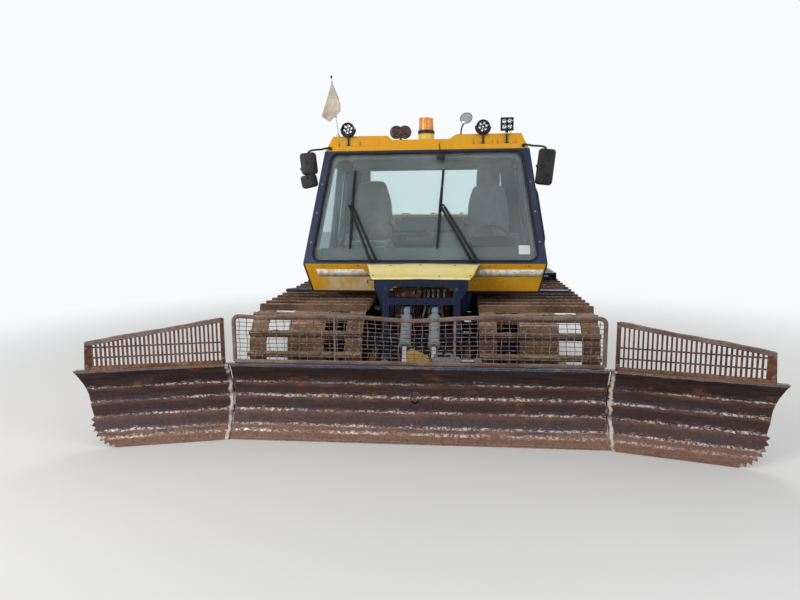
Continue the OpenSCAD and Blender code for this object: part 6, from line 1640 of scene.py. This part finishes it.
def cylinder_trim(body, black, a, b, pins, size, barrel, ports):
    """Gland, wiper ring, port blocks, the hard pipe along the barrel and the grease nipple."""
    a, b, ports = Vector(a), Vector(b), Vector(ports).normalized()
    along = (b - a).normalized()
    r, rod = size[0], size[1]
    body.lathe([(r + 0.0045, 0.0), (r + 0.0045, 0.006), (r + 0.001, 0.009), (rod + 0.004, 0.010), (rod + 0.0022, 0.008)],
               at(a + along * (barrel + 0.0085), along), 32, caps=(True, False))
    black.lathe([(rod + 0.0035, 0.0), (rod + 0.0035, 0.0035), (rod + 0.0014, 0.0050), (rod + 0.0014, 0.0005)],
                at(a + along * (barrel + 0.0180), along), 28, caps=(False, False))
    low, high = size[5] + 0.028, barrel - 0.045
    for k, t in enumerate((low, high)):
        foot = a + along * t
        body.lathe([(0.016, 0), (0.016, 0.008), (0.013, 0.010)], at(foot + ports * (r - 0.003), ports), 16)
        nut = at(foot + ports * (r + 0.006), ports)
        body.skin([[nut @ Vector((x, y, z)) for x, y in outline_ring(6, 0.0125)] for z in (0, 0.011)])
        inward = along * (0.055 if k == 0 else -0.045)
        out = foot + ports * (r + 0.016)
        body.tube([out, out + ports * 0.006, out + ports * 0.011 + inward * 0.12, out + ports * 0.014 + inward * 0.35,
                   out + ports * 0.014 + inward], 0.0065, 8)
    weld_bead(body, [a + along * (size[5] + 0.004) + (pins_side * (r - 0.0005)) for pins_side in
                     (Vector(pins) * math.cos(t) + along.cross(Vector(pins)) * math.sin(t) for t in (math.tau * k / 16 for k in range(17)))], 0.0035)
    body.lathe([(0.0055, 0), (0.0055, 0.004), (0.0028, 0.005), (0.0028, 0.009), (0.0040, 0.010), (0.0030, 0.0130)],
               at(a - along * (size[2] - 0.001), -along), 10)


class GROOMER_OT_cylinders(bpy.types.Operator):
    """Glands, ports, hard pipes, welds and grease nipples of the hydraulic cylinders, and their pins' locks"""

    bl_idname = "groomer.cylinders"
    bl_label = "Cylinders"

    def execute(self, context):
        rows = list(CYLINDERS)
        for name, side in (("left", 1), ("right", -1)):
            rows.append((f"wing_barrel_{name}", (side * 1.000, -2.240, 0.330), (side * WING_PIN.x, WING_PIN.y, WING_PIN.z), (0, 0, 1),
                         SMALL_SIZE, 0.420, (0, 1, 0)))
        for body_name in dict.fromkeys(row[0] for row in rows):
            metal, black = Shape(), Shape()
            for row in rows:
                if row[0] == body_name:
                    cylinder_trim(metal, black, *row[1:])
            metal.done(f"{body_name}_fittings", "cylinder_paint", body_name)
            black.done(f"{body_name}_wipers", "black_plastic", body_name, "black_plastic")
        # Rows: body that holds the pin, pin's place, its direction, size of its cylinder
        pins = [(ROOT, (0.125, -1.640, 0.900), (1, 0, 0), LIFT_SIZE), (ROOT, (-0.125, -1.640, 0.900), (1, 0, 0), LIFT_SIZE),
                ("push_frame", (0.125, -2.060, 0.440), (1, 0, 0), LIFT_SIZE), ("push_frame", (-0.125, -2.060, 0.440), (1, 0, 0), LIFT_SIZE),
                ("push_frame", (-0.300, -1.870, 0.478), (0, 0, 1), SMALL_SIZE),
                ("rear_frame", (0.250, 2.620, 0.505), (1, 0, 0), LIFT_SIZE), ("rear_frame", (-0.250, 2.620, 0.505), (1, 0, 0), LIFT_SIZE)]
        for body_name in dict.fromkeys(row[0] for row in pins):
            s = Shape()
            for body, place, direction, size in pins:
                if body != body_name:
                    continue
                place, direction = Vector(place), Vector(direction)
                half = size[4] / 2 + 0.0015 + 0.014 + 0.006
                for end in (1, -1):
                    s.lathe([(0.0145, 0), (0.0145, 0.004), (0.011, 0.006)], at(place + direction * end * half, direction * end), 18)
                    s.cylinder(place + direction * end * (half + 0.002) + Vector((0, 0.0, -0.022)) * (abs(direction.x)) + Vector((0, -0.022, 0)) * abs(direction.z),
                               place + direction * end * (half + 0.002) + Vector((0, 0.0, 0.022)) * (abs(direction.x)) + Vector((0, 0.022, 0)) * abs(direction.z),
                               0.003, sides=8)
            s.done(f"pin_locks_{body_name}", "bare_steel", body_name, "rusty_steel")
        return {"FINISHED"}


# Rows: x at the top, x in the middle, x at the foot of each hose
HOSES = [(-0.020, -0.024, -0.018), (0.022, 0.030, 0.012), (0.060, 0.058, 0.066), (0.104, 0.108, 0.116), (0.150, 0.148, 0.158),
         (0.206, 0.184, 0.190)]
HOSE_Y = -1.544
HOSE_R = 0.009


def smooth_line(points, steps=6):
    """A curve through the points, as fine straight stretches."""
    points = [Vector(p) for p in points]
    made, n = [], len(points)
    for i in range(n - 1):
        p0, p1, p2, p3 = points[max(i - 1, 0)], points[i], points[i + 1], points[min(i + 2, n - 1)]
        for k in range(steps):
            t = k / steps
            made.append(0.5 * (2 * p1 + (p2 - p0) * t + (2 * p0 - 5 * p1 + 4 * p2 - p3) * t * t + (3 * p1 - p0 - 3 * p2 + p3) * t ** 3))
    return made + [points[-1]]


class GROOMER_OT_hydraulics(bpy.types.Operator):
    """The valve block's nuts and plugs, its six hoses with their elbows, and small pipes"""

    bl_idname = "groomer.hydraulics"
    bl_label = "Hydraulics"

    def execute(self, context):
        fittings, end_y = Shape(), -1.4903
        for i, (top, middle, foot) in enumerate(HOSES):
            for x, z, turn in ((top, 1.062, -1), (foot, 0.788, 1)):
                nut = at((x, end_y, z), (0, -1, 0), (1, 0, 0))
                for r, z0, z1, sides in ((0.0145, 0.0004, 0.011, 6), (0.0105, 0.011, 0.017, 16), (0.0130, 0.017, 0.027, 6)):
                    fittings.skin([[nut @ Vector((u, v, w)) for u, v in outline_ring(sides, r)] for w in (z0, z1)])
                bend = [(x, end_y - 0.026, z), (x, end_y - 0.038, z + turn * 0.001), (x, end_y - 0.048, z + turn * 0.006),
                        (x, HOSE_Y - 0.001, z + turn * 0.015), (x, HOSE_Y, z + turn * 0.026)]
                fittings.tube(bend, 0.0078, 10)
                sleeve = at((x, HOSE_Y, z + turn * 0.022), (0, 0, turn))
                fittings.lathe([(0.0090, 0), (0.0112, 0.002), (0.0112, 0.007), (0.0104, 0.008), (0.0112, 0.009), (0.0112, 0.019),
                                (0.0104, 0.020), (0.0112, 0.021), (0.0112, 0.027), (0.0098, 0.029)], sleeve, 18)
            path = smooth_line([(top, HOSE_Y, 1.024), (top, HOSE_Y - 0.001, 1.010), (middle, HOSE_Y - 0.004, 0.945),
                                (middle, HOSE_Y - 0.004, 0.905), (foot, HOSE_Y - 0.001, 0.842), (foot, HOSE_Y, 0.828)], 6)
            hose = Shape()
            hose.tube(path, HOSE_R, 16)
            replaced = ("hoses",) if i == 0 else ()
            made = hose.done(f"hose_{i + 1}", "hose_sleeve" if i % 2 else "hose_rubber", ROOT, "hose_sleeve", replaces=replaced, smooth=180)
        fittings.done("hose_fittings", "bare_steel", ROOT, "hose_sleeve")

        s = Shape()
        for x, z in ((-0.222, 0.84), (-0.184, 0.84), (-0.222, 1.02), (-0.160, 1.045), (-0.078, 1.045)):
            s.bolt((x, -1.590, z), (0, -1, 0), 0.013, 0.012)
        for x, z in ((-0.205, 0.930), (-0.115, 0.990)):
            s.lathe([(0.024, 0), (0.024, 0.022), (0.019, 0.026), (0.010, 0.027)], at((x, -1.590, z), (0, -1, 0)), 20)
        for x, z in ((-0.015, 0.95), (0.225, 0.95), (-0.015, 0.90), (0.225, 0.90), (0.105, 0.985)):
            s.bolt((x, end_y + 0.0003, z), (0, -1, 0), 0.008)
        for k in range(5):
            s.lathe([(0.015, 0), (0.015, 0.010), (0.010, 0.013), (0.010, 0.026), (0.004, 0.028)],
                    at((-0.005 + 0.050 * k, -1.440, 1.080), (0, 0, 1)), 14)
        s.done("valve_nuts", "rusty_steel", ROOT)

        s = Shape()
        s.tube(smooth_line([(-0.16, -1.470, 1.085), (-0.16, -1.470, 1.115), (-0.13, -1.465, 1.135), (-0.05, -1.450, 1.140), (0.05, -1.440, 1.138),
                            (0.15, -1.430, 1.135), (0.190, -1.430, 1.118), (0.195, -1.430, 1.081)], 5), 0.007, 8)
        s.tube(smooth_line([(-0.10, -1.400, 1.085), (-0.10, -1.400, 1.130), (-0.08, -1.380, 1.150), (0.0, -1.370, 1.152), (0.12, -1.380, 1.150),
                            (0.150, -1.385, 1.130), (0.152, -1.386, 1.081)], 5), 0.006, 8)
        s.done("valve_pipes", "bare_steel", ROOT, "hose_sleeve")
        return {"FINISHED"}


class GROOMER_OT_linkage(bpy.types.Operator):
    """Welds, pins and hard pipes of the push frame, the blade carrier and the portal"""

    bl_idname = "groomer.linkage"
    bl_label = "Front linkage"

    def execute(self, context):
        s = Shape()
        for side in (1, -1):
            for y, z, r in ((-2.130, 0.340, 0.071), (-1.780, 0.430, 0.047)):
                ring = [(side * 0.3935, y + r * math.cos(t), z + r * math.sin(t)) for t in (math.tau * k / 24 for k in range(25))]
                weld_bead(s, ring, 0.0045)
            s.lathe([(0.052, 0), (0.052, 0.006), (0.044, 0.009), (0.020, 0.009)], at((side * 0.4455, -1.430, 0.520), (side, 0, 0)), 28)
            for k in range(3):
                a = math.tau * k / 3 + 0.5
                s.bolt((side * 0.4540, -1.430 + 0.033 * math.cos(a), 0.520 + 0.033 * math.sin(a)), (side, 0, 0), 0.007)
        for x in (-0.30, 0.30):
            s.box((x - 0.035, -2.1500, 0.4110), (x + 0.035, -2.1180, 0.4200))
            s.bolt((x, -2.134, 0.4200), UP, 0.007)
        s.done("push_frame_welds", "rusty_steel", "push_frame", bevel=0.001)

        pipes, clamps = Shape(), Shape()
        for side in (1, -1):
            for lift in (0.0, -0.026):
                pipes.tube([(side * x, y, z + lift) for x, y, z in ((0.3960, -1.694, 0.511), (0.3905, -1.6955, 0.5105), (0.3870, -1.703, 0.509),
                                                                    (0.3860, -1.740, 0.500), (0.3860, -1.880, 0.468), (0.3860, -1.990, 0.439),
                                                                    (0.3875, -2.026, 0.4285), (0.3960, -2.034, 0.426))], 0.0078, 10)
                for y, z in ((-1.694, 0.511), (-2.034, 0.426)):
                    clamps.lathe([(0.0130, 0), (0.0130, 0.0030), (0.0095, 0.0045)], at((side * 0.3955, y, z + lift), (-side, 0, 0)), 6)
            for y, z in ((-1.760, 0.4955), (-1.970, 0.4445)):
                clamps.rounded_box((side * 0.3860 - 0.0105, y - 0.014, z - 0.042), (side * 0.3860 + 0.0090, y + 0.014, z + 0.014), 0.004, 1)
        pipes.done("push_frame_pipes", "hose_rubber", "push_frame", "hose_sleeve")
        clamps.done("push_frame_clamps", "rusty_steel", "push_frame")

        s = Shape()
        for x in (-0.34, -0.20, 0.20, 0.34):
            for z in (0.235, 0.470):
                s.bolt((x, -2.2738, z), (0, 1, 0), 0.012)
        s.done("carrier_bolts", "rusty_steel", "carrier", "ochre_paint")

        s = Shape()
        for side in (1, -1):
            for z in (0.80, 1.10):
                s.bolt((side * 0.317, -1.680, z), (0, -1, 0), 0.010)
            weld_bead(s, [(side * 0.286, -1.6805, 0.9600), (side * 0.286, -1.6805, 1.0200)], 0.004)
            weld_bead(s, [(side * 0.3485, -1.6815, 0.72), (side * 0.3485, -1.6815, 0.86)], 0.0035)
        s.done("portal_welds", "blue_paint", ROOT)
        return {"FINISHED"}


# ---------------------------------------------------------------- engine house, deck and tail


class GROOMER_OT_rear(bpy.types.Operator):
    """Lid latches, exhaust cap, tread plate, tank straps, rails' feet, tail lamps and hitch details"""

    bl_idname = "groomer.rear"
    bl_label = "Rear"

    def execute(self, context):
        s = Shape()
        for x in (-0.45, 0.45):
            s.rounded_box((x - 0.045, 1.6522, 1.738), (x + 0.045, 1.6580, 1.762), 0.002, 1)
            s.tube([(x - 0.030, 1.6600, 1.748), (x - 0.030, 1.6720, 1.744), (x + 0.030, 1.6720, 1.744), (x + 0.030, 1.6600, 1.748)], 0.005, 8)
        s.tube([(-0.130, 1.655, 1.7480), (-0.130, 1.6750, 1.7480), (0.130, 1.6750, 1.7480), (0.130, 1.655, 1.7480)], 0.009, 10)
        for x in (-0.54, -0.18, 0.18, 0.54):
            for y in (0.66, 1.06, 1.46):
                s.bolt((x, y, 1.7652), UP, 0.006)
        s.done("lid_latches", "black_plastic", "engine_lid")

        s = Shape()
        for side in (1, -1):
            for y in (0.47, 0.80, 1.16, 1.56):
                for z in (1.10, 1.69):
                    s.bolt((side * 0.6402, y, z), (side, 0, 0), 0.0065)
        for x in (-0.58, -0.2, 0.2, 0.58):
            for z in (1.10, 1.69):
                s.bolt((x, 1.6402, z), (0, 1, 0), 0.0065)
        s.done("house_bolts", "bare_steel", ROOT, "yellow_paint")

        x, y = -0.820, 0.560
        s = Shape()
        for z in (1.345, 1.990):
            s.lathe([(0.1055, 0), (0.1090, 0.003), (0.1090, 0.022), (0.1055, 0.025)], at((x, y, z)), 36, caps=(False, False))
            s.box((x + 0.104, y - 0.010, z + 0.002), (x + 0.126, y + 0.010, z + 0.023))
            s.bolt((x + 0.115, y - 0.010, z + 0.0125), (0, -1, 0), 0.006)
        for z in (1.46, 1.58, 1.70, 1.82, 1.94):
            s.lathe([(0.1052, -0.010), (0.1078, 0.0), (0.1052, 0.010)], at((x, y, z)), 36, caps=(False, False))
        s.lathe([(0.0545, 0.0), (0.066, 0.006), (0.069, 0.016), (0.066, 0.020), (0.0545, 0.014)], at((x, y, 2.020)), 32, caps=(False, False))
        for k in range(4):
            a = math.tau * (k + 0.5) / 4
            s.bolt((x + 0.075 * math.cos(a), y + 0.075 * math.sin(a), 1.054 + 0.004), UP, 0.008)
        s.lathe([(0.0585, 0.0002), (0.092, 0.0002), (0.092, 0.005), (0.0585, 0.006)], at((x, y, 1.0545)), 32, caps=(False, False))
        s.done("exhaust_bands", "rusty_steel", ROOT)

        s = Shape()
        diamonds = 0
        for side in (1, -1):
            for i in range(20):
                for j in range(42):
                    px, py = side * (0.690 + 0.040 * i), 0.400 + 0.0495 * j
                    if (abs(px - x) < 0.13 and abs(py - y) < 0.13) or abs(px) > 1.480 or (abs(px) > 1.39 and min(abs(py - 1.78), abs(py - 2.41)) < 0.05):
                        continue
                    turn = 0.7 if (i + j) % 2 else -0.7
                    c, d = math.cos(turn), math.sin(turn)
                    ring = [(px + u * c - v * d, py + u * d + v * c) for u, v in ((-0.014, 0), (0, -0.0035), (0.014, 0), (0, 0.0035))]
                    s.skin([[(a, b, 1.0541) for a, b in ring], [(px + (a - px) * 0.6, py + (b - py) * 0.6, 1.0562) for a, b in ring]], caps=(False, True))
                    diamonds += 1
        s.done("tread_plate", "blue_paint", ROOT, smooth=20)

        s = Shape()
        for px in (-0.36, 0.16):
            ring = rounded([(1.7098, 1.0545), (2.2602, 1.0545), (2.2602, 1.4303), (1.7098, 1.4303)], 0.004, 2)
            for a, b in ((0.0, 0.0022),):
                outer = [(yy + (0.0022 if yy > 1.985 else -0.0022), zz + (0.0022 if zz > 1.24 else 0.0)) for yy, zz in ring]
                s.skin([[(px - 0.020, *p) for p in outer], [(px + 0.020, *p) for p in outer]], caps=(True, True))
            s.bolt((px, 1.7076, 1.10), (0, -1, 0), 0.008)
            s.bolt((px, 2.2624, 1.10), (0, 1, 0), 0.008)
        m = at((0.380, 1.980, 1.4102))
        s.lathe([(0.0505, 0.0), (0.0505, 0.020), (0.0485, 0.026), (0.044, 0.030), (0.016, 0.0305), (0.012, 0.034), (0.0, 0.0345)], m, 36, caps=(True, False))
        for k in range(10):
            a = math.tau * k / 10
            s.box((0.380 + 0.046 * math.cos(a) - 0.004, 1.980 + 0.046 * math.sin(a) - 0.004, 1.432),
                  (0.380 + 0.046 * math.cos(a) + 0.004, 1.980 + 0.046 * math.sin(a) + 0.004, 1.4385))
        s.done("tank_straps", "black_plastic", ROOT, bevel=0.0008)

        s = Shape()
        for side in (1, -1):
            for py in (1.780, 2.410):
                s.lathe([(0.045, 0), (0.045, 0.005), (0.027, 0.006), (0.024, 0.012), (0.0225, 0.014)], at((side * 1.420, py, 1.0542)), 24)
                for k in range(4):
                    a = math.tau * (k + 0.5) / 4
                    s.bolt((side * 1.420 + 0.036 * math.cos(a), py + 0.036 * math.sin(a), 1.0590), UP, 0.005)
                weld_bead(s, [(side * 1.420 + 0.0225 * math.cos(t), py + 0.0225 * math.sin(t), 1.452) for t in
                              (math.tau * k / 10 for k in range(11))], 0.003)
            for py in (1.757, 2.4325):
                s.lathe([(0.0205, 0), (0.014, 0.0035), (0.0, 0.0045)], at((side * 1.420, py, 1.474), (0, 1 if py > 2 else -1, 0)), 20)
        s.done("rail_feet", "blue_paint", ROOT)

        lens, rim = Shape(), Shape()
        for side in (1, -1):
            for px in (1.290, 1.390):
                m = at((side * px, 2.500, 1.000), (0, 1, 0), (1, 0, 0))
                lens.lathe([(0.0440, -0.004), (0.0435, 0.004), (0.036, 0.0075), (0.0, 0.0090)], m, 32, caps=(True, False))
                for r in (0.012, 0.024, 0.035):
                    lens.lathe([(r - 0.0012, 0.006), (r, 0.0098 - 0.05 * r), (r + 0.0012, 0.006)], m, 32, caps=(False, False))
                rim.lathe([(0.0465, -0.029), (0.0485, -0.027), (0.0485, 0.003), (0.0450, 0.006), (0.0440, 0.003)], m, 32, caps=(False, False))
        lens.done("tail_lenses", "red_lens", ROOT)
        rim.done("tail_rims", "black_plastic", ROOT)

        s = Shape()
        for side in (1, -1):
            s.lathe([(0.052, 0), (0.052, 0.006), (0.044, 0.009), (0.020, 0.009)], at((side * 0.4455, 2.250, 0.470), (side, 0, 0)), 28)
            ring = [(side * 0.3935, 2.705 + 0.041 * math.cos(t), 0.462 + 0.041 * math.sin(t)) for t in (math.tau * k / 24 for k in range(25))]
            weld_bead(s, ring, 0.0040)
        s.done("rear_frame_welds", "blue_paint", "rear_frame")
        return {"FINISHED"}


STEPS = (GROOMER_OT_stage, GROOMER_OT_finishes, GROOMER_OT_blade, GROOMER_OT_grilles, GROOMER_OT_cab, GROOMER_OT_flap,
         GROOMER_OT_lamps, GROOMER_OT_mirrors, GROOMER_OT_wipers, GROOMER_OT_flag, GROOMER_OT_seats, GROOMER_OT_inside,
         GROOMER_OT_tracks, GROOMER_OT_wheels, GROOMER_OT_cylinders, GROOMER_OT_hydraulics, GROOMER_OT_linkage,
         GROOMER_OT_rear)


class GROOMER_PT_panel(bpy.types.Panel):
    """Sizes, colours and the steps that dress the groomer"""

    bl_idname = "GROOMER_PT_panel"
    bl_label = "Tracked snow groomer"
    bl_space_type = "VIEW_3D"
    bl_region_type = "UI"
    bl_category = "Groomer"

    def draw(self, context):
        for name in GroomerLook.__annotations__:
            self.layout.prop(context.scene.groomer, name)
        for step in STEPS:
            self.layout.operator(step.bl_idname)


CLASSES = (GroomerLook, *STEPS, GROOMER_PT_panel)


def register():
    for c in CLASSES:
        bpy.utils.register_class(c)
    bpy.types.Scene.groomer = bpy.props.PointerProperty(type=GroomerLook)


def unregister():
    del bpy.types.Scene.groomer
    for c in reversed(CLASSES):
        bpy.utils.unregister_class(c)


def main():
    register()
    for step in STEPS:
        group, name = step.bl_idname.split(".")
        getattr(getattr(bpy.ops, group), name)()


if __name__ == "__main__":
    main()
